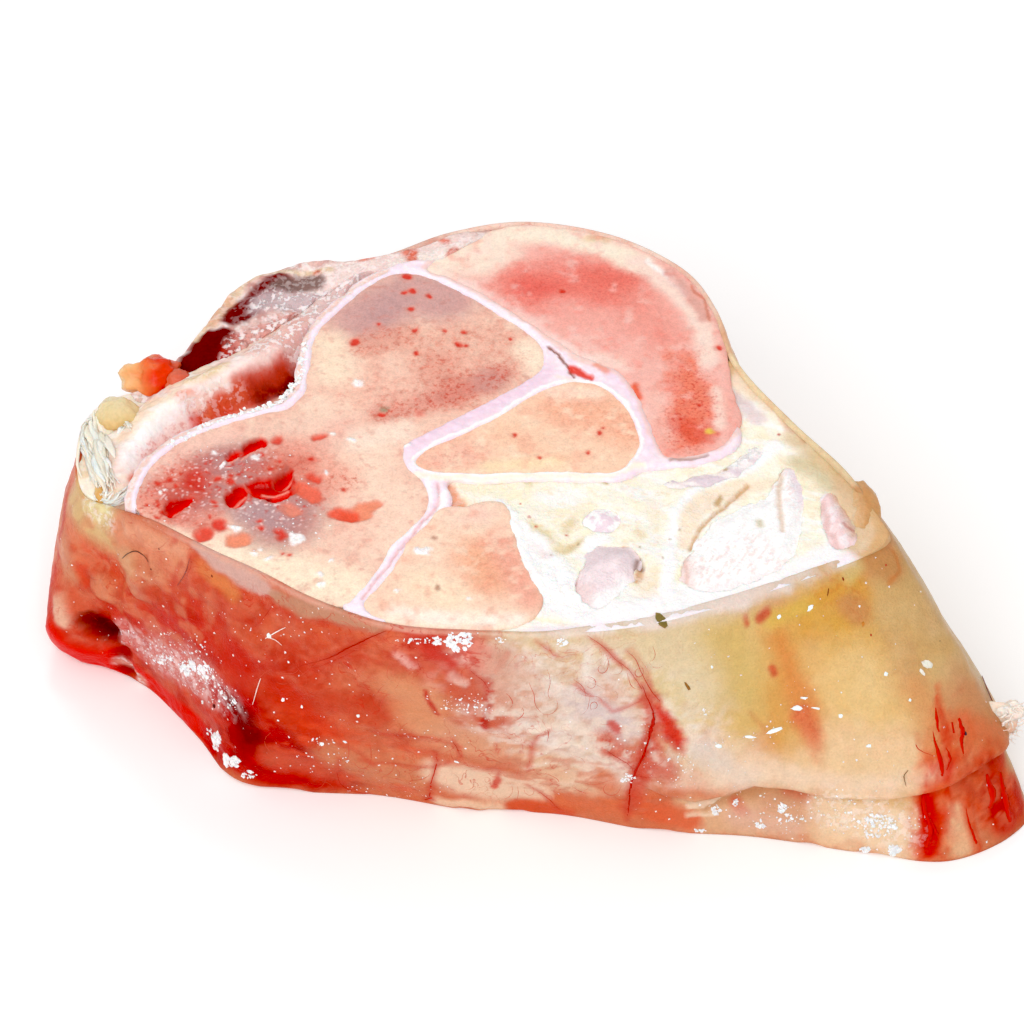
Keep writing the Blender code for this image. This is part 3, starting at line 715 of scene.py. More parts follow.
def boundary_loops(triangles):
    """The open sides of a patch as closed loops of point numbers, each in its triangles' direction."""
    sides = np.vstack([triangles[:, [0, 1]], triangles[:, [1, 2]], triangles[:, [2, 0]]])
    present = {(int(a), int(b)) for a, b in sides}
    follow = {}
    for a, b in sorted(present):
        if (b, a) not in present:
            follow.setdefault(a, []).append(b)
    loops = []
    while follow:
        start = here = next(iter(follow))
        loop = []
        while here in follow:
            loop.append(here)
            after = follow[here].pop()
            if not follow[here]:
                del follow[here]
            here = after
            if here == start:
                break
        loops.append(loop)
    return loops


def foot_region(loops, points):
    """A coarse triangulation between the same boundary points; new points follow the old ones."""
    rims = [points[loop] for loop in loops]
    outer = max(range(len(rims)), key=lambda k: np.ptp(rims[k][:, 0]))
    grid = hex_grid(rims[outer].min(0), rims[outer].max(0), FOOT_STEP)
    for number, rim in enumerate(rims):
        inside = in_loop(grid, rim)
        clear = loop_gap(grid, rim) > 0.5 * FOOT_STEP
        grid = grid[(inside if number == outer else ~inside) & clear]
    order = [n for loop in loops for n in loop]
    faces, start = [], 0
    for loop in loops:
        faces.append(list(range(start, start + len(loop))))
        start += len(loop)
    given = [Vector(points[n]) for n in order] + [Vector(p) for p in grid]
    _, _, triangles, origins, _, parents = delaunay_2d_cdt(given, [], faces, 1, 1e-6)
    kept = [t for t, owners in zip(triangles, parents) if set(owners) == {outer}]
    numbers = [order[o[0]] if o[0] < len(order) else len(points) + o[0] - len(order) for o in origins]
    return grid, [tuple(numbers[n] for n in t) for t in kept]


def dress_upright(name, loops, level, paint, material, slot, base, start=SLAB):
    """A tissue that runs through the slice: sawn or natural upper face, sides and lower cut.

    loops is (inside, outside). level(flat, gap) gives the height of the upper face, where gap is the
    distance to the piece's own boundary, and paint(skin) lays on its colours over the colour base.
    start is about the height of the upper face.
    """
    flat, triangles = plan_region(*loops, FINE_STEP)
    rims = boundary_loops(triangles)
    gap = np.full(len(flat), FAR)
    for rim in rims:
        if len(rim) > 8:
            gap = np.minimum(gap, loop_gap(flat, flat[rim]))
    foot_grid, foot_triangles = foot_region(rims, flat)
    plan = np.vstack([flat, foot_grid])
    heights = np.concatenate([np.full(len(flat), SLAB), np.zeros(len(foot_grid))])
    place = on_level(SLAB) if start == SLAB else on_relief(level, start)
    skin = Skin(np.column_stack([plan, heights]), place, base, flat=True)
    paint(skin)

    count = len(flat)
    tops = np.column_stack([flat, level(flat, gap) + skin.marks["relief"][:count]])
    points, source = [tops], [np.arange(count)]
    faces = [tuple(t) for t in triangles.tolist()]
    total, foot_of = count, {}
    for rim in rims:
        above = np.array(rim)
        ring_numbers = [above]
        for depth in (*SIDE_DEPTHS, None):
            ring = tops[rim].copy()
            ring[:, 2] = 0.0 if depth is None else ring[:, 2] - depth
            points.append(ring)
            source.append(above)
            ring_numbers.append(np.arange(total, total + len(rim)))
            total += len(rim)
        for upper, lower in zip(ring_numbers, ring_numbers[1:]):
            after_upper, after_lower = np.roll(upper, -1), np.roll(lower, -1)
            faces += np.column_stack([lower, after_lower, after_upper, upper]).tolist()
        foot_of.update(zip(rim, ring_numbers[-1].tolist()))
    points.append(np.column_stack([foot_grid, np.zeros(len(foot_grid))]))
    source.append(np.arange(count, len(plan)))
    number = {**foot_of, **{count + k: total + k for k in range(len(foot_grid))}}
    faces += [(number[c], number[b], number[a]) for a, b, c in foot_triangles]
    made, source = lean(np.vstack(points)), np.concatenate(source)
    marks = {key: channel[source] for key, channel in skin.marks.items()}
    add_piece(name, made, faces, skin.tint[source], marks, material, name.replace("_look", ""), slot)
    return made[:count], triangles


def wall_columns(count, closer=1.0):
    """The wall's columns: rim, foot and the outward direction of each, closer together at the front."""
    columns = closed_spline([(*rim, *foot) for rim, foot in WALL], 8 * count)
    dense = 1 + (closer - 1) * smooth((-6.0 - columns[:, 1]) / 10)
    run = np.concatenate([[0.0], np.cumsum(dense)])
    wanted = np.linspace(0.0, run[-1], count, endpoint=False)
    cyclic = np.vstack([columns, columns[:1]])
    columns = np.column_stack([np.interp(wanted, run, column) for column in cyclic.T])
    return columns[:, :3], columns[:, 3:], outward(columns, 2)


def wall_points(rim, foot, way, share):
    """Points of the outer wall without its seam, share of the way up from the foot to the rim."""
    share = np.broadcast_to(share, len(foot))
    place = foot + (rim[:, :2] - foot) * share[:, None]
    x, y = place.T
    z = rim[:, 2] * share
    belly = BULGE + near(foot[:, 0], foot[:, 1], LEFT_END) + near(foot[:, 0], foot[:, 1], RIGHT_END)
    out = belly * 4 * share * (1 - share)
    off_lump = np.linalg.norm(np.column_stack([x, y, z]) - RED_LUMP, axis=1) / RED_LUMP_SIZE[0]
    out = out + RED_LUMP_SIZE[1] * np.exp(-(off_lump**2))
    ripple = np.sin(0.23 * x + 0.4 * z) * np.sin(0.19 * y - 0.21 * z + 0.8)
    out = out + RIPPLE * ripple * np.sin(math.pi * np.minimum(1.0, 0.15 + 0.85 * share))
    return np.column_stack([x + way[:, 0] * out, y + way[:, 1] * out, z])


def seam_course(bare, foot):
    """Height of the seam and size of its lip at each of the wall's columns."""
    places = np.array([bare.place(u, v) for u, v in SEAM])
    count = len(foot)
    numbers = [int(np.argmin(np.hypot(*(foot - place[:2]).T))) for place in places]
    turn = count // 2
    along = (np.array(numbers) + turn) % count
    order = np.argsort(along)
    mine = (np.arange(count) + turn) % count
    height = np.interp(mine, along[order], places[order, 2])
    step = np.hypot(*(foot - np.roll(foot, 1, 0)).T)[numbers[0]]
    before = smooth(1 - (along.min() - mine) * step / SEAM_FADE[0])
    past = smooth(1 - (mine - along.max()) * step / SEAM_FADE[1])
    return height, SEAM_LIP * np.minimum(before, past)


FIBRES = np.array([[1.4, 0.35], [-0.9, 0.35]])  # stretches blotches from lower left to upper right


def fence(amount):
    """The wall's rim in plan, moved in by an amount."""
    rim, _, _ = wall_columns(480)
    return grown(rim[:, :2], -amount)


def bone_level(flat, gap):
    return SLAB - 0.18 * (1 - smooth(gap / 0.5)) + 0.10 * (noise(flat, 1.1, 3) - 0.5)


def cartilage_level(flat, gap):
    return SLAB - 0.25 + 0.4 * smooth((gap + 0.1) / 0.6) + 0.3 * (noise(flat, 0.9, 8) - 0.5)


def fat_level(flat, gap):
    lobules = noise(flat, 2.4, 21, 2) - 0.5
    crumbly = noise(flat, 0.6, 5) - 0.5
    return SLAB - 0.55 + 0.2 * unevenness(*flat.T) + 0.5 * lobules + 0.2 * crumbly


def tendon_level(flat, gap):
    fibres = noise(flat @ FIBRES, 0.9, 31, 3) - 0.5
    return SLAB - 0.75 + 0.7 * smooth((gap + 0.1) / 2.6) + 0.45 * fibres


def line_gap_open(points, line):
    """Distance from each point to a thin open line."""
    return line_gap(points, [np.array(p, float) for p in line], [0.0] * len(line))


def beside(points, line):
    """Positive on the left of an open line, negative on its right."""
    line = np.asarray(line, float)
    middle = 0.5 * (line[1:] + line[:-1])
    closest = np.argmin(np.linalg.norm(points[:, None] - middle[None], axis=2), axis=1)
    a, b = line[closest], line[closest + 1]
    return (b[:, 0] - a[:, 0]) * (points[:, 1] - a[:, 1]) - (b[:, 1] - a[:, 1]) * (points[:, 0] - a[:, 0])


def capsule_level(flat, gap):
    """The rounded ridge of the joint capsule, falling to the cavity beside the large bone."""
    away = line_gap_open(flat, CAPSULE_CREST)
    behind = beside(flat, CAPSULE_CREST) > 0
    left_share = smooth((-44.0 - flat[:, 0]) / 10.0)
    top = mix(CREST_HEIGHT, left_share)
    outer = top - CREST_SLOPE[1] * smooth(away / CREST_SLOPE[0])
    inner = top - (top - mix(CAVITY_FLOOR, left_share)) * smooth(away / CAVITY_REACH)
    folds = 0.8 * (noise(flat, 3.0, 51, 2) - 0.5) + 0.4 * (noise(flat, 0.9, 52) - 0.5)
    level = np.where(behind, outer, inner)
    meets = smooth((flat[:, 0] + 31.0) / 5.0) * smooth(away / 2.0) * behind
    return mix((level, muscle_level(flat, gap)), meets) + folds


def muscle_level(flat, gap):
    """Lumps of meat on the left, tissue level with the rim on the right."""
    x = flat[:, 0]
    rise = np.interp(x, (-52.0, -44.6, -39.3, -30.0, -19.0, -9.0), (29.6, 30.6, 31.4, 32.4, 34.6, 36.0))
    lumps = near(x, flat[:, 1], (-43.0, 22.0, 6.0, 0.8)) + near(x, flat[:, 1], (-34.0, 30.0, 6.0, 0.9))
    rough = mix((1.4, 0.4), smooth((x + 30.0) / 12.0))
    return rise + lumps + 0.3 * unevenness(*flat.T) + rough * (noise(flat, 1.7, 61) - 0.5)


def ligament_level(flat, gap):
    lobes = sum(near(flat[:, 0], flat[:, 1], lobe) for lobe in FAT_LOBES)
    strands = 0.7 * (noise(flat @ np.array([[1.6, 0.0], [0.0, 0.35]]), 1.0, 71) - 0.5)
    return LIGAMENT_HEIGHT + lobes + 0.4 * unevenness(*(1.6 * flat.T)) + strands


MARROW = [  # photograph points along each open marrow hole, its widths and colour
    ([(262, 488), (272, 490), (284, 484)], (3.6, 4.6, 4.2), BLOOD),
    ([(283, 480), (290, 470)], (2.6, 0.8), BLOOD),
    ([(232, 503), (236, 497), (242, 490)], (2.2, 2.9, 2.0), BLOOD),
    ([(174, 509), (181, 504), (187, 500)], (2.6, 2.8, 1.8), BLOOD),
    ([(242, 456), (250, 449), (258, 444)], (0.9, 2.0, 2.2), BLOOD),
    ([(230, 459), (237, 453)], (1.0, 1.0), BLOOD),
    ([(302, 486), (309, 492), (316, 498)], (2.2, 2.8, 2.0), SALMON),
    ([(353, 515), (363, 511), (375, 504)], (2.4, 2.6, 1.4), (240, 142, 108)),
    ([(338, 513), (349, 516)], (2.2, 2.0), (236, 84, 56)),
    ([(221, 524), (222, 528)], (1.7, 1.7), (224, 42, 26)),
    ([(202, 535), (207, 530)], (1.9, 1.8), (226, 58, 36)),
    ([(235, 541), (243, 539)], (2.0, 1.9), (238, 140, 105)),
    ([(279, 533), (280, 537)], (1.4, 1.3), (218, 52, 36)),
    ([(287, 508), (294, 512)], (2.0, 1.8), (232, 140, 118)),
    ([(314, 438), (324, 437)], (0.9, 0.9), (228, 76, 55)),
    ([(312, 475), (318, 479)], (1.0, 1.0), (226, 66, 42)),
    ([(276, 441)], (1.4,), (222, 66, 50)),
]
RED_DOTS = [  # photograph point and width of the small red pores
    (261, 529, 0.8), (260, 522, 0.5), (261, 456, 0.7), (311, 458, 0.8), (270, 469, 0.8), (279, 462, 0.6),
    (218, 480, 1.1), (230, 482, 1.1), (232, 475, 0.6), (214, 502, 0.7), (215, 507, 0.6), (252, 497, 0.5),
    (211, 517, 0.5), (158, 483, 0.9), (170, 479, 1.0), (176, 485, 0.8), (146, 505, 0.6), (158, 505, 0.6),
    (163, 511, 0.7), (158, 517, 0.7), (148, 520, 0.8), (345, 490, 0.5), (282, 552, 0.5), (289, 554, 0.6),
    (408, 277, 1.2), (411, 291, 1.1), (404, 293, 0.8), (411, 309, 1.0), (428, 296, 0.8), (417, 331, 0.9),
    (355, 342, 1.3), (417, 353, 0.9), (465, 332, 0.8), (460, 345, 0.8), (466, 346, 0.7), (512, 339, 0.7),
    (458, 344, 0.7), (379, 325, 0.6), (382, 414, 0.9), (444, 331, 0.6),
]


def marrow_hole(skin, pixels, widths, color):
    """A hollow with a pink rim. The deep ones are blood red and sharp, with painted shade at their upper side
    and a thin painted highlight below.
    """
    skin.stroke(pixels, [w + 0.5 for w in widths], (212, 120, 104), 0.7, 0.6, 0.4)
    deep = color is BLOOD
    edge, strength, relief = (0.35, 1.0, -0.6) if deep else (0.9, 0.85, -0.36)
    skin.stroke(pixels, widths, color, edge, strength, 0.7, wet=0.35, relief=relief, red=0.0, speck=0.0)
    if deep:
        # painted shade: a dark core shifted up and to the left in each deep hole
        upper = [(u - 4, v - 3) for u, v in pixels]
        skin.stroke(upper, [0.3 * w for w in widths], MARROW_SHADE, 0.7 * max(widths), 0.75, 0.4, relief=-0.3)
        # painted highlight: a thin pale arc below each deep hole, raised a little
        lower = [(u + 2 * k, v + 5) for k, (u, v) in enumerate(pixels)]
        skin.stroke(lower, 0.3, (250, 168, 150), 0.3, 0.75, 0.2, relief=0.2)


def red_dots(skin, spots):
    """Small red pores with a pink rim."""
    for u, v, width in spots:
        skin.stroke([(u, v)], 1.5 * width, (226, 140, 120), 1.0, 0.5, 0.4)
        skin.stroke([(u, v)], width, (216, 48, 32), 0.4, 0.9, 0.6, wet=0.2, relief=-0.1)


def crumbs(skin, spots):
    """White bone dust lying on a sawn face."""
    for u, v, width in spots:
        skin.stroke([(u, v)], width, WHITE, 0.5, 0.9, 1.0, relief=0.2, frost=1.0, red=0.0)


FLOW = np.array([[0.35, 0.3, 0.0], [0.3, 1.2, 0.0], [0.0, 0.0, 1.0]])  # stretches blotches to the right
FIBRES_3D = np.array([[1.4, 0.35, 0.0], [-0.9, 0.35, 0.0], [0.0, 0.0, 1.0]])


def paint_large(skin):
    skin.cloud((226, 158, 140), 2.4, 0.5, 0.72, 0.45, seed=11)
    skin.cloud((252, 226, 204), 1.9, 0.52, 0.78, 0.5, seed=14)
    skin.strokes([
        ([(250, 546), (300, 576), (350, 588)], 7, 5, (252, 230, 204), 0.9),
        ([(160, 526), (200, 541), (240, 556)], 3, 2.4, (252, 226, 202), 0.8),
        ([(372, 455), (360, 480), (400, 500), (395, 540)], 7, 6, (250, 216, 194), 0.75),
        ([(330, 430), (300, 440)], 7, 5, (238, 184, 168), 0.7),
        ([(300, 425), (345, 395), (350, 375)], 5, 4, (250, 218, 196), 0.7),
        ([(365, 318), (410, 292), (440, 298)], 10, 6, (206, 158, 154), 0.9),
        ([(395, 300), (380, 315)], 4, 4, (190, 150, 150), 0.5),
        ([(200, 455), (250, 440), (300, 425)], 4, 4, (236, 196, 178), 0.7),
        ([(185, 490), (225, 470), (262, 480), (285, 505), (280, 520)], 11, 6, (188, 134, 130), 0.95,
         {"speck": 0.16}),
        ([(195, 470), (240, 462), (290, 470)], 5, 4, (204, 104, 88), 0.5, {"red": 0.7}),
        ([(170, 505), (186, 486), (200, 500)], 4, 3, (200, 84, 70), 0.6, {"red": 0.8}),
        ([(210, 505), (250, 516), (262, 510)], 2, 2, (182, 140, 140), 0.6),
        ([(222, 468), (250, 462)], 5, 4, (180, 146, 146), 0.7),
        ([(255, 510), (275, 518)], 5, 4, (186, 152, 154), 0.7),
        ([(170, 500), (196, 480)], 6, 5, (206, 96, 84), 0.6, {"red": 0.6}),
        ([(150, 505), (160, 515)], 3, 3, (240, 176, 156), 0.6, {"red": 0.7}),
        ([(290, 455), (310, 470), (330, 480)], 7, 5, (234, 148, 128), 0.6, {"red": 0.4}),
        ([(368, 346), (384, 340), (400, 336)], 5, 3, (224, 150, 130), 0.6, {"red": 0.9}),
        ([(430, 346), (480, 340), (505, 356)], 8, 5, (230, 166, 146), 0.5, {"red": 0.6}),
        ([(440, 372), (460, 391)], 7, 5, (222, 140, 122), 0.6, {"red": 0.9}),
        ([(385, 412), (440, 398), (500, 376)], 4, 4, (214, 130, 116), 0.75, {"red": 0.9}),
        ([(350, 392), (376, 384), (400, 396)], 5, 4, (240, 180, 160), 0.5, {"red": 0.5}),
        ([(490, 381)], 5, 3, (204, 150, 142), 0.6),
        ([(330, 345), (333, 372)], 5, 4, (250, 224, 198), 0.85),
        ([(528, 350), (540, 364)], 4, 3, (252, 230, 206), 0.9),
        ([(160, 470), (185, 448), (230, 434)], 3, 3, (246, 200, 184), 0.7),
        ([(146, 500), (165, 480), (180, 470)], 3, 3, (232, 140, 122), 0.6, {"red": 0.9}),
        ([(176, 516), (196, 524), (212, 518)], 3, 3, (220, 110, 94), 0.6, {"red": 0.9}),
        ([(250, 470), (300, 462)], 3, 3, (212, 110, 92), 0.5, {"red": 0.8}),
        ([(360, 440), (400, 432)], 4, 3, (251, 226, 208), 0.7),
        ([(312, 459)], 1.5, 1.2, (218, 95, 80), 0.6),
        ([(419, 414)], 1.5, 1.2, (218, 95, 80), 0.6),
        ([(338, 478), (350, 482)], 3, 2, None, 1.0, {"red": 0.6}),
        ([(384, 408)], 1.2, 0.6, (150, 144, 118), 0.85),
    ])
    skin.cloud((206, 126, 112), 0.9, 0.6, 0.8, 0.35, seed=17)
    skin.stroke([(197, 486), (195, 474)], (2.2, 2.0), (206, 48, 38), 2.0, 0.85, 0.8, wet=0.3)
    skin.cloud((206, 44, 30), 0.5, 0.6, 0.68, 0.85, seed=18,
               within=([(156, 500), (200, 474), (296, 496)], 8, 6))
    skin.cloud((252, 226, 222), 0.35, 0.64, 0.7, 0.7, seed=19,
               within=([(186, 490), (240, 470), (280, 510)], 10, 5))
    for hole in MARROW:
        marrow_hole(skin, *hole)
    # painted shade: a dark spot in the lower part of the largest marrow hole
    skin.stroke([(268, 498)], 0.8, (110, 6, 6), 0.6, 0.8)
    red_dots(skin, RED_DOTS)
    crumbs(skin, [(237, 529, 1.4), (295, 540, 2.0), (257, 460, 0.9), (352, 438, 0.9), (333, 436, 0.7),
                  (255, 554, 0.8), (270, 557, 0.7), (144, 530, 0.7), (162, 493, 0.7), (168, 488, 0.5),
                  (214, 454, 0.8), (224, 466, 0.7), (356, 383, 1.4), (260, 547, 0.5), (322, 470, 0.6),
                  (320, 583, 0.9), (318, 574, 0.6), (334, 562, 0.6)])


def paint_upper(skin):
    skin.strokes([
        ([(428, 272), (470, 285), (520, 312), (560, 342), (592, 362)], 1.8, 1.6, (249, 216, 208), 0.9),
        ([(530, 287), (570, 280), (612, 290)], 10, 7, ROSE_DEEP, 0.85, {"red": 0.35, "wobble": 1.6}),
        ([(525, 288), (550, 290)], 4, 4, (230, 100, 90), 0.6),
        ([(598, 275), (630, 285)], 4, 3, (230, 108, 94), 0.5),
        ([(560, 315), (610, 330)], 7, 5, (242, 168, 156), 0.7),
        ([(640, 302), (660, 335)], 7, 6, (238, 150, 136), 0.7),
        ([(684, 358), (690, 384), (692, 410), (684, 440)], (4, 6, 6.5, 6), 5, (236, 122, 92), 0.85,
         {"red": 0.7, "wobble": 2.0}),
        ([(676, 424), (692, 432), (706, 436)], 3.5, 3, (224, 84, 58), 0.7, {"wobble": 1.6}),
        ([(655, 390), (668, 440)], 2.4, 3, (246, 196, 182), 0.6),
        ([(430, 258), (455, 246), (485, 238), (520, 233), (560, 236), (600, 247), (640, 264)], 4.0, 3.0,
         (252, 234, 214), 0.95),
        ([(440, 262), (480, 262), (500, 250)], 6, 4, (252, 230, 212), 0.85),
        ([(640, 264), (668, 284), (690, 306), (704, 332), (708, 360)], 3.0, 2.0, (250, 222, 208), 0.9),
        ([(648, 262), (672, 280), (688, 296)], 0.9, 0.8, WHITE, 0.9),
        ([(590, 238), (606, 239)], 1.6, 1.4, (226, 198, 158), 0.7),
        ([(668, 272), (690, 296), (703, 318)], 1.7, 1.2, (222, 160, 148), 0.85),
        ([(716, 390), (720, 425)], 1.6, 1.4, (250, 220, 206), 0.8),
        ([(635, 386), (637, 398)], 1.2, 1, (232, 90, 50), 0.9),
        ([(600, 358), (625, 366)], 2.4, 2, (250, 216, 204), 0.8),
        ([(710, 432)], 1.2, 0.8, (232, 200, 90), 0.9),
    ])
    skin.cloud((236, 130, 116), 1.6, 0.55, 0.8, 0.4, seed=23)
    skin.cloud((250, 212, 202), 2.0, 0.55, 0.8, 0.45, seed=24)
    skin.stroke([(692, 286), (702, 300), (709, 320)], 0.5, (206, 122, 96), 0.5, 0.8)
    red_dots(skin, [(719, 348, 0.9), (598, 372, 0.6), (562, 291, 0.9), (680, 420, 0.6), (700, 405, 0.6)])


def paint_center(skin):
    skin.strokes([
        ([(565, 408), (600, 414), (625, 430)], 7, 6, (246, 180, 150), 0.85, {"red": 0.25}),
        ([(440, 460), (470, 452)], 5, 5, (244, 186, 166), 0.85, {"red": 0.3}),
        ([(500, 430), (530, 450)], 4, 4, (248, 198, 168), 0.6, {"red": 0.2}),
        ([(490, 466), (560, 462)], 2, 3, (251, 224, 184), 0.85),
        ([(556, 392), (592, 392)], 3, 3, (252, 222, 202), 0.8),
    ])
    skin.cloud((240, 176, 150), 1.8, 0.5, 0.75, 0.45, seed=33)
    skin.cloud((253, 226, 200), 1.5, 0.55, 0.8, 0.5, seed=34)
    red_dots(skin, [(540, 457, 0.6), (514, 436, 0.6), (599, 433, 0.8), (587, 453, 0.6), (603, 428, 0.5)])


def paint_front(skin):
    skin.strokes([
        ([(460, 512), (480, 512)], 4, 4, (246, 206, 190), 0.8),
        ([(480, 556), (490, 576)], 7, 6, (240, 174, 140), 0.9, {"red": 0.2}),
        ([(501, 541), (530, 598)], 4, 4, (236, 166, 146), 0.85),
        ([(425, 585), (450, 598)], 5, 5, (251, 226, 196), 0.8),
        ([(395, 614), (450, 620), (515, 620)], 2.6, 2.2, (254, 238, 224), 0.9),
    ])
    skin.cloud((232, 158, 134), 1.5, 0.55, 0.8, 0.4, seed=43)
    skin.cloud((253, 226, 202), 1.7, 0.52, 0.8, 0.5, seed=44)
    skin.stroke([(436, 587)], 0.8, (160, 100, 78), 0.5, 0.7)
    skin.stroke([(435, 538)], 0.8, (160, 100, 78), 0.5, 0.6)
    crumbs(skin, [(423, 551, 1.4), (418, 549, 0.8), (470, 600, 0.7), (400, 590, 0.6)])


def paint_cartilage(skin):
    large, center = outline(BONE_LARGE, step=1.5), outline(BONE_CENTER, step=1.5)
    skin.cloud((240, 208, 224), 1.6, 0.4, 0.8, 0.35, seed=53)
    skin.cloud(WHITE, 0.7, 0.45, 0.8, 0.4, seed=54)
    skin.strokes([
        ([(432, 270), (470, 286), (516, 312), (552, 340), (585, 362)], 1.3, 0.9, (248, 212, 204), 0.95),
        ([(590, 362), (625, 368), (645, 392), (660, 430)], 1.4, 1.0, (248, 210, 204), 0.85),
        ([(414, 270), (445, 281), (480, 297), (515, 321), (548, 345)], 1.0, 0.7, (252, 236, 244), 0.95),
        ([(408, 447), (443, 430), (484, 411), (518, 392), (548, 372)], 2.4, 1.6, (238, 206, 224), 0.7),
        ([(610, 371), (628, 382), (640, 400), (650, 425), (655, 445)], 2.2, 1.5, (240, 212, 230), 0.7),
        ([(415, 475), (440, 478), (520, 476), (600, 476), (640, 466)], 1.2, 0.9, (253, 240, 222), 0.9),
        ([(660, 455), (700, 455), (722, 444), (733, 425)], 2.0, 1.4, (244, 226, 232), 0.7),
    ])
    rim = grown(outline(BONE_UPPER, step=1.5), 0.35)
    skin.stroke(np.vstack([rim, rim[:1]]), 0.8, (247, 208, 200), 0.6, 0.8)
    rim = grown(center, 0.35)
    skin.stroke(np.vstack([rim, rim[:1]]), 0.45, WHITE, 0.5, 0.95, relief=0.12)
    for reach, width, color, strength, frost in ((0.75, 0.8, (250, 232, 246), 0.8, 0.0),
                                                 (1.3, 0.9, (244, 206, 192), 0.9, 0.5)):
        side = grown(large, reach)
        side = side[(side[:, 1] > -19) & (side[:, 1] < 31) & (side[:, 0] < -15)]
        skin.stroke(side[np.argsort(side[:, 0] + side[:, 1])], width, color, 0.5, strength, 0.5, frost=frost,
                    relief=-0.5 * frost)
    skin.strokes([
        ([(437, 484), (440, 500), (428, 519), (408, 540), (387, 568), (362, 599)], 0.3, 0.5, (228, 168, 166),
         0.9, {"relief": -0.35}),
        ([(446, 492), (432, 524), (412, 546), (393, 573), (374, 602)], 0.7, 0.7, WHITE, 0.9),
        ([(427, 478), (430, 500), (418, 520), (398, 540), (379, 566), (356, 592)], 0.6, 0.7, WHITE, 0.8),
        # painted shade: the dark brown line in the cleft at the end of the joint line, cut in a little
        ([(549, 347), (556, 353), (562, 360), (569, 366), (573, 376)], 0.45, 0.4, (142, 70, 34), 0.95,
         {"wobble": 0.6, "relief": -0.25}),
        ([(574, 369), (582, 374), (590, 379)], (1.4, 1.0, 0.6), 0.5, (228, 52, 22), 0.95,
         {"relief": -0.2, "wet": 0.4}),
        ([(596, 366), (606, 372)], 1.2, 1.0, (240, 148, 120), 0.8),
        ([(590, 384), (560, 378)], 0.6, 0.6, (250, 226, 222), 0.9),
        ([(709, 457), (690, 460), (668, 461)], 0.5, 0.4, (168, 128, 116), 0.7, {"relief": -0.3}),
        ([(404, 446)], 1.2, 0.6, WHITE, 0.9, {"relief": 0.3}),
    ])


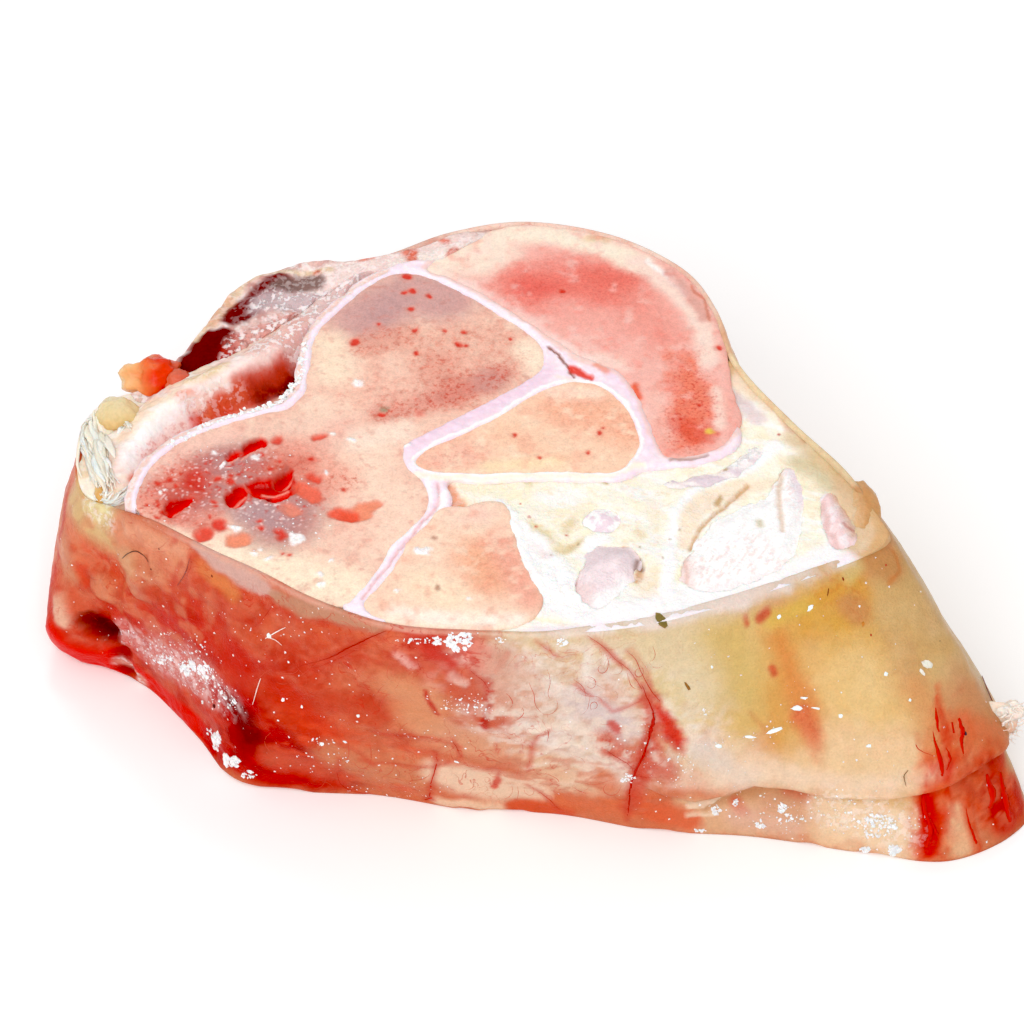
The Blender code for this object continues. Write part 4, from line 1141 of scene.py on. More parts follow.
def paint_fat(skin):
    skin.cloud((253, 236, 204), 3.4, 0.48, 0.75, 0.65, seed=63)
    skin.cloud(WHITE, 1.6, 0.5, 0.68, 0.6, seed=64, stretch=FLOW)
    skin.cloud((246, 222, 190), 0.9, 0.56, 0.7, 0.45, seed=65)
    skin.strokes([
        ([(470, 488), (500, 484), (520, 490)], 3.5, 3.0, (252, 238, 208), 0.8),
        ([(528, 480), (540, 472), (552, 468)], 1.6, 1.4, (224, 210, 160), 0.75),
        ([(604, 480)], 0.9, 0.8, (196, 176, 116), 0.8),
        ([(533, 526), (546, 534), (556, 546)], 2.0, 1.8, (222, 202, 146), 0.8, {"wobble": 0.8}),
        ([(572, 518), (566, 526)], 1.4, 1.2, (222, 198, 150), 0.7, {"wobble": 0.8}),
        ([(568, 546), (580, 538)], 1.4, 1.2, (216, 190, 134), 0.7, {"wobble": 0.8}),
        ([(520, 530), (538, 548), (548, 566), (560, 578)], (3, 5, 6, 5), 2.0, WHITE, 0.95,
         {"relief": 0.35, "frost": 0.6, "wobble": 0.9}),
        ([(530, 544), (548, 552)], 1.6, 1.2, (240, 218, 218), 0.7, {"wobble": 0.8}),
        ([(590, 542), (602, 536)], 2.4, 1.6, WHITE, 0.9, {"relief": 0.2, "frost": 0.5}),
        ([(546, 600), (566, 606), (584, 612)], 3.0, 2.4, (253, 243, 236), 0.9, {"frost": 0.4}),
        ([(640, 530)], 1.4, 1.2, (232, 206, 164), 0.6),
        ([(650, 500), (656, 520)], 2.0, 2.0, (240, 222, 196), 0.5),
        ([(646, 575), (652, 590), (640, 604)], 4.0, 3.0, (246, 226, 200), 0.85),
        # painted shade in a small pit, which is also cut in
        ([(638, 558), (641, 566)], 1.0, 0.7, (128, 92, 80), 0.85, {"relief": -0.5, "wobble": 0.3}),
        ([(640, 568), (636, 576)], 1.0, 0.8, (204, 142, 92), 0.7),
        ([(776, 444), (746, 466), (722, 478), (694, 490), (676, 509), (672, 536), (668, 566), (666, 586)],
         (2.2, 1.8, 1.6, 1.8, 1.6, 1.6, 1.8, 2.4), 1.2, WHITE, 0.95, {"relief": 0.2}),
        ([(772, 480), (742, 484), (712, 494), (692, 512), (684, 540)], (2, 3, 3.4, 3, 2), 1.6,
         (250, 228, 204), 0.95),
        ([(746, 482), (734, 494), (717, 510), (700, 526), (690, 546)], 0.6, 0.6, (212, 168, 122), 0.9,
         {"relief": -0.35, "wobble": 0.3}),
        ([(720, 494), (716, 502)], 0.9, 0.8, (190, 150, 90), 0.8),
        ([(815, 553), (800, 566)], 4.0, 3.0, (251, 232, 208), 0.8),
        ([(800, 462), (818, 470), (834, 482)], 3.4, 2.4, (216, 200, 164), 0.9),
        ([(727, 361), (728, 372)], 2.4, 1.5, (214, 172, 124), 0.85),
        ([(740, 378), (756, 392), (770, 402)], 2.6, 1.8, (240, 212, 186), 0.8),
        ([(727, 389), (738, 400), (757, 415)], 2.4, 1.5, (226, 206, 208), 0.8),
        ([(772, 401), (786, 415), (795, 427)], 1.6, 1.2, (212, 162, 122), 0.8),
        ([(797, 430), (804, 440)], 1.0, 0.8, (206, 108, 78), 0.85),
        ([(720, 452)], 0.9, 0.6, (170, 166, 110), 0.7),
    ])
    red_spots = [(529, 516, 0.45), (536, 525, 0.45), (520, 501, 0.35), (566, 532, 0.4), (779, 431, 0.5)]
    for u, v, width in red_spots:
        skin.stroke([(u, v)], width, (196, 50, 34), 0.3, 0.9, 0.2)
    for u, v in [(679, 528), (669, 536), (577, 541), (663, 555), (552, 553), (640, 545)]:
        skin.stroke([(u, v)], 0.35, (140, 104, 70), 0.35, 0.8, 0.2)
    skin.stroke([(499, 500), (510, 512), (515, 528), (522, 548), (534, 572), (541, 590), (538, 612)], 1.0,
                WHITE, 0.8, 0.95, relief=0.2)
    skin.strokes([
        ([(506, 520), (516, 545), (530, 575), (556, 598), (600, 612), (650, 606)], (2, 4, 6, 6, 5, 3), 2.6,
         WHITE, 0.9, {"relief": 0.2, "wobble": 1.2}),
        ([(600, 612), (680, 600), (740, 590), (800, 568), (836, 552)], 5.0, 3.0, (254, 249, 248), 0.95,
         {"wobble": 1.0}),
        ([(520, 632), (560, 628), (620, 624), (680, 613), (726, 603), (780, 584), (820, 568), (850, 554)],
         1.8, 1.6, (250, 234, 240), 0.9),
        ([(848, 468), (866, 488), (882, 508), (890, 530), (878, 548), (862, 552)], (4, 6, 6, 6, 4, 2), 2.6,
         (214, 168, 116), 0.95),
        ([(822, 456), (846, 468), (862, 486)], 4.0, 2.4, (218, 192, 148), 0.9),
        ([(843, 478), (850, 504), (856, 528), (852, 542)], (3, 4.5, 4.5, 3), 2.2, (222, 188, 150), 0.9),
        ([(792, 436), (812, 452), (830, 462)], 2.4, 2.0, (222, 196, 158), 0.8),
    ])
    skin.stroke([(436, 480), (444, 490), (456, 505)], 3.2, (236, 152, 112), 1.2, 0.85, wet=0.5, relief=-0.5)
    # painted shade: the dark gap on the left of the orange tissue, which is also cut in
    skin.stroke([(408, 470), (420, 475), (430, 480), (436, 490)], 0.9, (120, 50, 40), 0.5, 0.85, relief=-0.8)
    skin.stroke([(560, 500), (600, 495), (640, 520)], 30, None, 6, 1.0, frost=0.22)


def paint_round(skin):
    skin.cloud((232, 212, 216), 0.8, 0.45, 0.65, 0.6, seed=79)
    skin.strokes([
        ([(588, 560), (600, 552), (618, 550), (628, 558)], 3.4, 2.0, (226, 208, 212), 0.85),
        ([(573, 572), (574, 586), (580, 600)], 1.0, 0.9, (198, 146, 136), 0.9),
        ([(584, 588), (592, 600)], 2.0, 1.6, (232, 206, 204), 0.8),
        ([(604, 572), (616, 580)], 2.4, 2.0, (248, 226, 230), 0.8, {"frost": 0.4}),
        ([(600, 602), (616, 594), (626, 584)], 2.6, 2.0, WHITE, 0.85),
        # painted shade in the same small pit, on the tendon's side
        ([(637, 558), (635, 570)], 0.7, 0.6, (150, 116, 106), 0.85),
    ])


def paint_small(skin):
    skin.cloud((238, 214, 224), 0.8, 0.45, 0.62, 0.9, seed=81)


def paint_broad(skin):
    skin.cloud((246, 222, 218), 0.5, 0.54, 0.64, 0.75, seed=82, stretch=FIBRES_3D)
    skin.strokes([
        ([(682, 560), (690, 590)], 3.0, 2.0, (240, 206, 200), 0.6),
        ([(720, 520), (760, 510), (800, 540)], 7.0, 4.0, WHITE, 0.8),
        # painted shade: a tan line in the shallow groove on the left of the second ridge
        ([(780, 466), (779, 480), (777, 500), (783, 530)], 0.7, 0.8, (226, 196, 172), 0.8, {"relief": -0.3}),
        ([(789, 463), (797, 478), (804, 500)], 2.2, 1.8, (240, 222, 230), 0.8),
        ([(758, 521), (760, 526)], 0.9, 0.8, (206, 190, 150), 0.7),
        ([(692, 592), (740, 583), (800, 565)], 1.6, 1.4, (250, 236, 236), 0.8),
        ([(690, 540), (684, 560), (688, 580)], 0.6, 0.6, (230, 190, 178), 0.7),
    ])


def paint_flat(skin):
    skin.cloud((226, 208, 216), 0.8, 0.45, 0.62, 0.9, seed=83, stretch=FLOW)
    skin.strokes([
        ([(672, 470), (700, 464), (716, 460)], 2.4, 1.6, (224, 206, 212), 0.85, {"frost": 0.5}),
        ([(726, 466)], 0.7, 0.6, (176, 150, 96), 0.8),
        ([(744, 455)], 0.7, 0.6, (180, 152, 100), 0.8),
        ([(736, 462), (760, 446)], 1.6, 1.4, WHITE, 0.8, {"frost": 0.8}),
    ])


def paint_edge(skin):
    skin.cloud((252, 238, 240), 1.0, 0.45, 0.65, 0.9, seed=84, stretch=FIBRES_3D)
    skin.strokes([
        # painted shade on the tendon's right side, toward its top
        ([(836, 492), (848, 510), (854, 530)], 1.8, 1.8, (214, 176, 150), 0.85),
        ([(822, 500), (826, 530), (840, 548)], 0.8, 0.8, (226, 188, 184), 0.8),
        ([(842, 522), (852, 526)], 0.5, 0.5, (190, 120, 110), 0.7),
    ])


def paint_capsule(skin):
    skin.cloud((248, 222, 218), 3.0, 0.45, 0.7, 0.8, seed=91)
    skin.cloud((244, 204, 184), 1.4, 0.54, 0.72, 0.5, seed=93)
    skin.cloud((254, 244, 238), 1.6, 0.5, 0.7, 0.7, seed=92)
    skin.strokes([
        ([(195, 395), (235, 372), (275, 352)], 3.4, 2.4, (250, 228, 222), 0.9, {"wet": 0.2}),
        ([(190, 384), (206, 378), (222, 370)], 1.8, 1.4, (238, 208, 160), 0.85,
         {"frost": 0.4, "relief": 0.4}),
        ([(150, 462), (178, 440), (206, 424), (240, 405), (275, 392), (296, 376)], 3.0, 2.2, (224, 96, 68),
         0.95, {"red": 0.5, "wet": 0.4}),
        ([(196, 426), (212, 418), (222, 412)], 3.0, 2.0, (222, 60, 34), 0.95, {"red": 0.6}),
        ([(245, 398), (278, 387), (298, 368)], 3.0, 2.4, (208, 84, 66), 0.95),
        ([(252, 396), (276, 384), (296, 372)], 2.4, 1.8, (186, 62, 44), 0.85, {"red": 0.6}),
        # painted shade: the cavity's red tissue darkens to near black where it is deepest
        ([(262, 402), (284, 394), (298, 384)], 2.2, 1.4, (140, 36, 30), 0.9),
        ([(286, 396), (296, 388)], 1.8, 1.2, (84, 12, 12), 0.95),
        ([(206, 420), (222, 406), (240, 396)], 2.2, 1.6, (220, 100, 70), 0.8, {"frost": 0.35}),
        ([(136, 484), (143, 468), (155, 458)], 1.4, 1.0, (228, 96, 58), 0.9),
        ([(182, 398), (196, 400), (204, 410)], 1.8, 1.2, (234, 120, 86), 0.8, {"frost": 0.5}),
        ([(300, 350), (315, 325), (336, 300), (352, 288)], 5.6, 2.5, (222, 190, 186), 0.95, {"frost": 0.7}),
        ([(338, 305), (370, 284)], 2.4, 1.4, (236, 204, 198), 0.9, {"frost": 0.6}),
        ([(255, 352), (285, 335), (300, 322)], 3.0, 2.0, (232, 180, 170), 0.8, {"frost": 0.8}),
        ([(185, 408), (210, 392), (225, 385)], 1.6, 1.2, (250, 234, 224), 0.8, {"frost": 0.5}),
    ])
    # partly the capsule's pale colour, partly a painted highlight: a broad white streak on the crest, also
    # made glossy
    skin.stroke([(136, 462), (142, 444), (156, 430), (178, 418)], 3.6, WHITE, 3.0, 0.85, wet=0.7)
    skin.stroke([(158, 448), (170, 436), (182, 428)], 1.6, (250, 214, 204), 1.2, 0.6, wet=0.5)


def paint_muscle(skin):
    skin.cloud((206, 150, 142), 1.4, 0.45, 0.62, 0.85, seed=102)
    skin.cloud((248, 232, 228), 0.9, 0.5, 0.62, 0.9, seed=103)
    skin.strokes([
        ([(330, 282), (370, 268), (420, 256), (470, 250)], 7.0, 2.5, (247, 220, 214), 0.95, {"frost": 0.25}),
        ([(405, 268), (440, 258)], 4.0, 2.0, (251, 232, 222), 0.8),
        ([(186, 386), (202, 364), (216, 346)], 6.4, 1.0, (112, 2, 2), 1.0, {"red": 0.0, "frost": 0.0}),
        ([(222, 376), (230, 356), (238, 340)], 2.2, 1.4, (190, 60, 50), 0.85, {"red": 0.9, "frost": 0.6}),
        ([(236, 318), (252, 304), (276, 286)], 4.6, 1.2, (120, 10, 10), 0.98, {"frost": 0.12}),
        ([(280, 288), (314, 284)], 3.0, 1.4, (134, 104, 98), 0.95, {"frost": 0.2}),
        ([(262, 306), (290, 304), (320, 302)], 4.0, 2.0, (206, 182, 184), 0.9, {"frost": 0.7}),
        ([(246, 344), (270, 334), (292, 324)], 4.4, 2.5, (226, 160, 150), 0.75, {"frost": 0.9, "red": 0.5}),
        ([(196, 342), (215, 322), (228, 302), (246, 284), (266, 275), (300, 275), (330, 272)], 1.1, 0.9,
         (232, 204, 172), 0.9, {"frost": 0.3}),
        ([(214, 326), (220, 312), (228, 304)], 1.8, 1.2, (226, 180, 150), 0.85),
        ([(150, 402), (166, 392), (180, 388)], 3.6, 1.6, (240, 206, 192), 0.9, {"frost": 0.7}),
        ([(176, 388), (184, 380)], 1.8, 1.4, (224, 120, 92), 0.8),
        ([(352, 262), (384, 254), (404, 248)], 2.0, 1.2, (244, 208, 200), 0.8),
    ])
    for line, width in (([(402, 250), (408, 256), (414, 266)], 1.4), ([(414, 252), (412, 258)], 1.0),
                        ([(452, 252), (454, 266)], 1.5), ([(440, 241), (448, 243)], 0.9), ([(316, 275)], 1.2),
                        ([(383, 252), (392, 250)], 0.8), ([(362, 262), (372, 258)], 0.7)):
        skin.stroke(line, width, (226, 112, 86), 0.8, 0.85, red=0.4)


def paint_ligament(skin):
    skin.cloud((232, 204, 164), 1.8, 0.5, 0.7, 0.6, seed=111)
    skin.cloud((254, 246, 238), 0.9, 0.5, 0.66, 0.9, seed=112, stretch=np.diag([1.5, 0.5, 1.0]))


MEAT_RED = (208, 58, 38)
MEAT_DEEP = (186, 8, 4)
MEAT_BRIGHT = (228, 22, 8)
MEAT_ORANGE = (216, 96, 62)
FASCIA_ORANGE = (214, 122, 86)
FASCIA_BEIGE = (220, 186, 160)
FASCIA_OLIVE = (226, 196, 158)
WALL_YELLOW = (224, 186, 118)
WALL_MUSTARD = (226, 172, 86)
WALL_CREAM = (242, 204, 162)
WALL_TAN = (218, 176, 118)
WALL_FRONT_SHADE = 0.86  # the front of the wall keeps this share of its colours: painted shade that offsets the front light
WALL_ZONES = [  # tissue of the outer wall: photograph points, width and soft edge in mm, colour, strength
    ([(66, 560), (120, 590), (170, 600)], 18, 8, MEAT_ORANGE, 1.0),
    ([(60, 620), (140, 650), (220, 700)], 16, 7, MEAT_RED, 1.0),
    ([(190, 600), (260, 640), (340, 690)], 18, 8, (209, 72, 46), 1.0),
    ([(250, 628), (320, 636), (390, 642)], 7, 4, MEAT_ORANGE, 0.8),
    ([(300, 720), (340, 730), (360, 720)], 9, 6, (208, 84, 48), 1.0),
    ([(340, 770), (400, 785), (440, 792)], 6, 4, (214, 116, 82), 1.0),
    ([(380, 690), (410, 720), (400, 770)], 12, 7, (213, 120, 84), 1.0),
    ([(460, 676), (466, 720), (456, 770)], 8, 5, (214, 126, 90), 1.0),
    ([(430, 652), (460, 654), (500, 662)], 8, 4, (222, 118, 96), 1.0),
    ([(530, 650), (580, 660), (620, 676)], 16, 7, FASCIA_OLIVE, 1.0),
    ([(520, 700), (560, 730), (600, 760)], 15, 7, FASCIA_BEIGE, 1.0),
    ([(600, 700), (630, 730), (640, 760)], 8, 5, (216, 150, 120), 0.9),
    ([(540, 806), (600, 804), (660, 808)], 4.6, 2.4, (219, 116, 78), 1.0),
    ([(680, 640), (700, 680), (704, 724)], 14, 6, (227, 202, 156), 1.0),
    ([(740, 640), (744, 700)], 11, 5, WALL_YELLOW, 1.0),
    ([(700, 748), (740, 762), (800, 765)], 8, 5, (238, 204, 172), 1.0),
    ([(786, 640), (790, 680), (796, 730)], 8, 5, (226, 168, 94), 1.0),
    ([(820, 600), (850, 620), (850, 650)], 11, 6, WALL_MUSTARD, 1.0),
    ([(850, 690), (864, 720)], 14, 7, (236, 196, 134), 1.0),
    ([(840, 756), (900, 765)], 10, 6, WALL_CREAM, 1.0),
    ([(900, 600), (930, 630), (960, 680)], 11, 6, WALL_TAN, 1.0),
    ([(960, 700), (990, 740)], 9, 5, (216, 150, 104), 1.0),
    ([(700, 812), (760, 818), (830, 815)], 8, 3, (227, 178, 140), 1.0),
    ([(850, 818), (905, 830)], 10, 4, (243, 206, 168), 1.0),
    ([(936, 720), (942, 760), (934, 800), (928, 846)], (3, 7, 7, 5), 3, (231, 104, 58), 1.0),
    ([(960, 806), (968, 836)], 6, 3, (233, 160, 116), 1.0),
    ([(980, 780), (1005, 800)], 9, 4, (219, 66, 26), 1.0),
]
BACK_ZONES = [  # the same for the hidden sides, with places in plan and a height
    ([(66.0, -22.0, 16.0), (52.0, -4.0, 16.0)], 46, 16, (212, 172, 122), 1.0),
    ([(42.0, 12.0, 17.0), (33.0, 32.0, 18.0)], 46, 18, (226, 192, 156), 1.0),
    ([(16.0, 42.0, 18.0), (-8.0, 44.0, 18.0)], 46, 18, (230, 170, 148), 1.0),
    ([(-22.0, 42.0, 16.0), (-40.0, 38.0, 16.0)], 44, 16, (168, 62, 46), 1.0),
    ([(-50.0, 29.0, 15.0), (-59.0, 16.0, 15.0)], 44, 14, (196, 84, 56), 1.0),
    ([(-63.0, 4.0, 14.0), (-63.0, -8.0, 14.0)], 40, 12, (210, 92, 60), 1.0),
    ([(-9.0, 40.0, 36.0), (4.0, 42.5, 36.0), (16.0, 39.5, 36.0), (25.5, 32.0, 36.0), (29.5, 22.0, 36.0)],
     5, 3, (240, 204, 188), 0.9),
    ([(32.0, 11.0, 36.0), (39.5, 0.0, 36.0), (46.0, -10.0, 36.0)], 5, 3, (234, 212, 172), 0.95),
]
LEFT_SIDE = ([(60, 600), (250, 680), (420, 720)], 34, 10)
MIDDLE_SIDE = ([(526, 690), (640, 720)], 22, 8)
RIGHT_SIDE = ([(760, 680), (900, 720)], 30, 8)
UPRIGHT = np.diag([1.0, 1.0, 0.28])  # stretches blotches upright
LEVEL = np.diag([0.5, 0.7, 1.2])  # stretches them along the wall
CRUMPLED = np.diag([0.8, 0.9, 1.1])
BACK_CLOUDS = [  # blotches of the hidden sides: places and width, then colour, size, strength and stretch
    ([(60.0, -12.0, 16.0), (50.0, 0.0, 16.0), (42.0, 12.0, 17.0), (33.0, 32.0, 18.0)], 34, [
        ((242, 222, 190), 9.0, 0.7, UPRIGHT), ((212, 154, 98), 6.0, 0.45, UPRIGHT),
        ((248, 234, 216), 2.6, 0.3, LEVEL)]),
    ([(22.0, 40.0, 18.0), (4.0, 46.0, 18.0), (-14.0, 43.0, 18.0)], 40, [
        ((246, 228, 214), 8.0, 0.75, CRUMPLED), ((212, 110, 88), 6.0, 0.5, LEVEL),
        ((250, 240, 232), 2.0, 0.35, None)]),
    ([(-24.0, 41.0, 16.0), (-40.0, 38.0, 16.0), (-50.0, 29.0, 15.0), (-58.0, 18.0, 15.0)], 40, [
        ((134, 16, 12), 9.0, 0.75, CRUMPLED), ((220, 132, 104), 6.5, 0.5, None),
        ((240, 214, 200), 2.6, 0.3, LEVEL), ((120, 10, 8), 2.0, 0.35, UPRIGHT)]),
]


def wall_base(skin):
    """The wall's large zones of tissue and their blotches."""
    for places, width, edge, color, strength in BACK_ZONES:
        skin.stroke(np.array(places), width, color, edge, strength, 3.0)
    skin.strokes([(*row, {"wobble": 1.4}) for row in WALL_ZONES])
    for places, width, rows in BACK_CLOUDS:
        skin.stroke(np.array(places), width, None, 12, 1.0, 2.0, vein=0.45, speck=0.03, wet=0.15)
        for number, (color, size, strength, stretch) in enumerate(rows):
            skin.cloud(color, size, 0.42, 0.7, strength, int(300 + width + 10 * size + number),
                       (np.array(places), width, 12), stretch)
    for side, rows in (
        (LEFT_SIDE, [((186, 34, 20), 4.0, 0.6, 121, None), ((230, 132, 98), 2.8, 0.45, 122, None),
                     ((180, 44, 30), 1.2, 0.35, 123, CRUMPLED), ((236, 150, 120), 0.8, 0.2, 125, None)]),
        (MIDDLE_SIDE, [((242, 228, 218), 2.2, 0.9, 126, CRUMPLED), ((206, 150, 130), 1.6, 0.5, 127, None),
                       ((246, 236, 228), 0.7, 0.5, 130, CRUMPLED)]),
        (RIGHT_SIDE, [((240, 214, 164), 5.0, 0.35, 128, UPRIGHT), ((206, 150, 84), 1.4, 0.12, 129, None)]),
    ):
        for color, size, strength, seed, stretch in rows:
            skin.cloud(color, size, 0.4, 0.78, strength, seed, side, stretch)


def paint_left_wall(skin):
    """The red left end: membrane, bulges, the round swelling with its hollow, and the deep red meat."""
    skin.strokes([
        ([(58, 510), (60, 545), (66, 566)], 6.0, 3.0, (216, 140, 102), 0.9, {"vein": 0.1}),
        ([(76, 496), (98, 515), (122, 536)], (7, 9, 6), 4.0, (220, 180, 128), 1.0, {"vein": 0.1}),
        ([(92, 504), (108, 518)], 3.6, 2.0, (238, 222, 168), 0.9, {"wet": 0.5, "frost": 0.4}),
        ([(124, 534), (150, 548), (176, 562)], 6.0, 3.0, (226, 138, 104), 0.9),
        ([(128, 528), (152, 540), (180, 550)], 3.0, 2.0, (238, 170, 136), 0.7),
        ([(64, 492), (61, 504)], 0.9, 0.5, (120, 20, 16), 0.8),
        ([(66, 496), (62, 524), (56, 560), (48, 590)], 1.4, 1.0, (204, 52, 32), 0.8, {"red": 0.5}),
        ([(76, 466), (72, 480)], 2.0, 1.5, (222, 106, 66), 0.8),
        ([(84, 574), (92, 566), (106, 566)], 4.0, 2.0, (218, 74, 44), 0.9, {"relief": -0.5, "wobble": 1.0}),
        ([(104, 586)], 5.0, 2.0, (220, 132, 96), 0.95, {"relief": 0.9}),
        ([(138, 588)], 4.6, 2.0, (217, 142, 110), 0.95, {"relief": 0.8}),
        ([(130, 562)], 4.4, 2.0, (222, 160, 120), 0.9, {"relief": 0.6}),
        ([(154, 572)], 4.0, 2.0, (218, 150, 116), 0.8, {"relief": 0.5}),
        ([(118, 604), (122, 584), (116, 566)], 0.8, 0.8, (204, 74, 50), 0.7, {"relief": -0.5}),
        ([(160, 600), (158, 580), (146, 556)], 0.9, 0.9, (200, 76, 56), 0.7, {"relief": -0.4}),
        ([(160, 606), (190, 596), (206, 604)], 5.0, 3.0, (206, 84, 58), 0.8),
        ([(48, 574), (47, 596), (52, 618)], 2.6, 1.6, (212, 58, 36), 0.9),
        ([(60, 602), (62, 618)], 2.8, 1.4, (238, 190, 162), 0.9, {"relief": 0.4}),
        ([(72, 600), (80, 614)], 3.4, 2.0, (217, 100, 70), 0.8),
        ([(58, 636), (78, 656), (100, 664), (116, 656)], (5, 9, 9, 4), 2.2, MEAT_BRIGHT, 1.0,
         {"wet": 0.25, "relief": 0.8, "red": 0.0, "vein": 0.0, "wobble": 0.3}),
        # the hollow above the red swelling is cut in, and its paint darkens to near black in the middle as
        # painted shade
        ([(84, 622), (100, 628), (108, 634)], (3.4, 5.2, 3.0), 2.0, (130, 10, 8), 1.0,
         {"relief": -1.0, "wobble": 0.9, "wet": 0.2}),
        ([(94, 628), (104, 632)], 2.4, 1.4, (80, 6, 6), 0.9, {"relief": -0.6}),
        # painted shade in the notch below the swelling, which is also cut in
        ([(121, 652), (126, 672)], 2.4, 1.6, (160, 20, 14), 0.9, {"relief": -1.2, "wobble": 0.2}),
        ([(110, 616), (140, 620), (170, 622)], 4.4, 3.0, (206, 46, 30), 0.9),
        ([(176, 628), (210, 640), (240, 664)], 6.0, 3.5, (203, 44, 30), 0.9),
        ([(200, 690), (224, 704), (236, 690)], 5.0, 3.0, (200, 60, 44), 0.8),
        ([(126, 634), (158, 656), (192, 672), (228, 700)], (4, 6.5, 7.5, 5), 3.0, (216, 128, 120), 0.95,
         {"frost": 0.25, "speck": 0.8}),
        ([(150, 628), (184, 648), (206, 660)], 3.0, 2.4, (208, 104, 94), 0.7, {"speck": 0.6}),
        ([(134, 668), (156, 690), (190, 720), (210, 742)], (2.4, 4.0, 4.4, 3.6), 1.4, MEAT_BRIGHT, 0.95,
         {"vein": 0.0, "wobble": 0.3}),
        ([(120, 662), (140, 678)], 1.8, 1.2, (230, 160, 142), 0.8, {"frost": 0.6}),
        ([(196, 606), (205, 622), (218, 636)], 3.6, 2.4, (206, 58, 38), 0.9),
        ([(222, 696), (244, 716), (262, 740), (300, 765)], (5, 10, 12, 8), 4.0, MEAT_DEEP, 1.0,
         {"wobble": 1.0, "vein": 0.0, "speck": 0.06}),
        ([(212, 742), (240, 765), (280, 776), (336, 782)], (5, 6, 6, 3), 2.5, (196, 12, 5), 0.95,
         {"vein": 0.0}),
        ([(232, 704), (242, 716), (250, 736)], 4.0, 2.4, (122, 4, 4), 0.95),
        ([(284, 694), (312, 722), (334, 752)], 6.0, 4.0, (204, 46, 24), 0.85),
        ([(193, 548), (214, 560), (236, 573), (262, 586), (278, 595)], (0.8, 2.8, 3.8, 2.6, 0.8), 1.0,
         (218, 176, 164), 0.9, {"vein": 0.15}),
        ([(204, 570), (216, 580), (232, 592)], 2.6, 1.8, (226, 134, 80), 0.85),
        ([(276, 597), (304, 608), (330, 615), (379, 630)], (2.0, 2.8, 2.6, 1.6), 1.2, (198, 144, 116), 0.9),
        ([(176, 536), (200, 547), (218, 556)], 0.8, 0.6, (206, 90, 72), 0.7),
    ])
    for color, size, strength, seed, line, stretch in (
        ((188, 22, 12), 3.0, 0.6, 131, ([(130, 612), (240, 660)], 14, 6), LEVEL),
        ((228, 150, 112), 2.2, 0.4, 132, ([(60, 530), (160, 590)], 20, 6), None),
        ((200, 96, 66), 1.4, 0.25, 135, ([(60, 530), (160, 590)], 22, 6), None),
        ((228, 84, 50), 1.4, 0.6, 133, ([(296, 740), (400, 768)], 10, 5), LEVEL),
        ((160, 4, 2), 1.2, 0.7, 134, ([(240, 740), (340, 770)], 9, 5), LEVEL),
        ((246, 206, 200), 0.9, 0.6, 136, ([(140, 640), (226, 700)], 6, 3), np.diag([1.2, 0.8, 0.6])),
    ):
        skin.cloud(color, size, 0.5, 0.66, strength, seed, within=line, stretch=stretch)


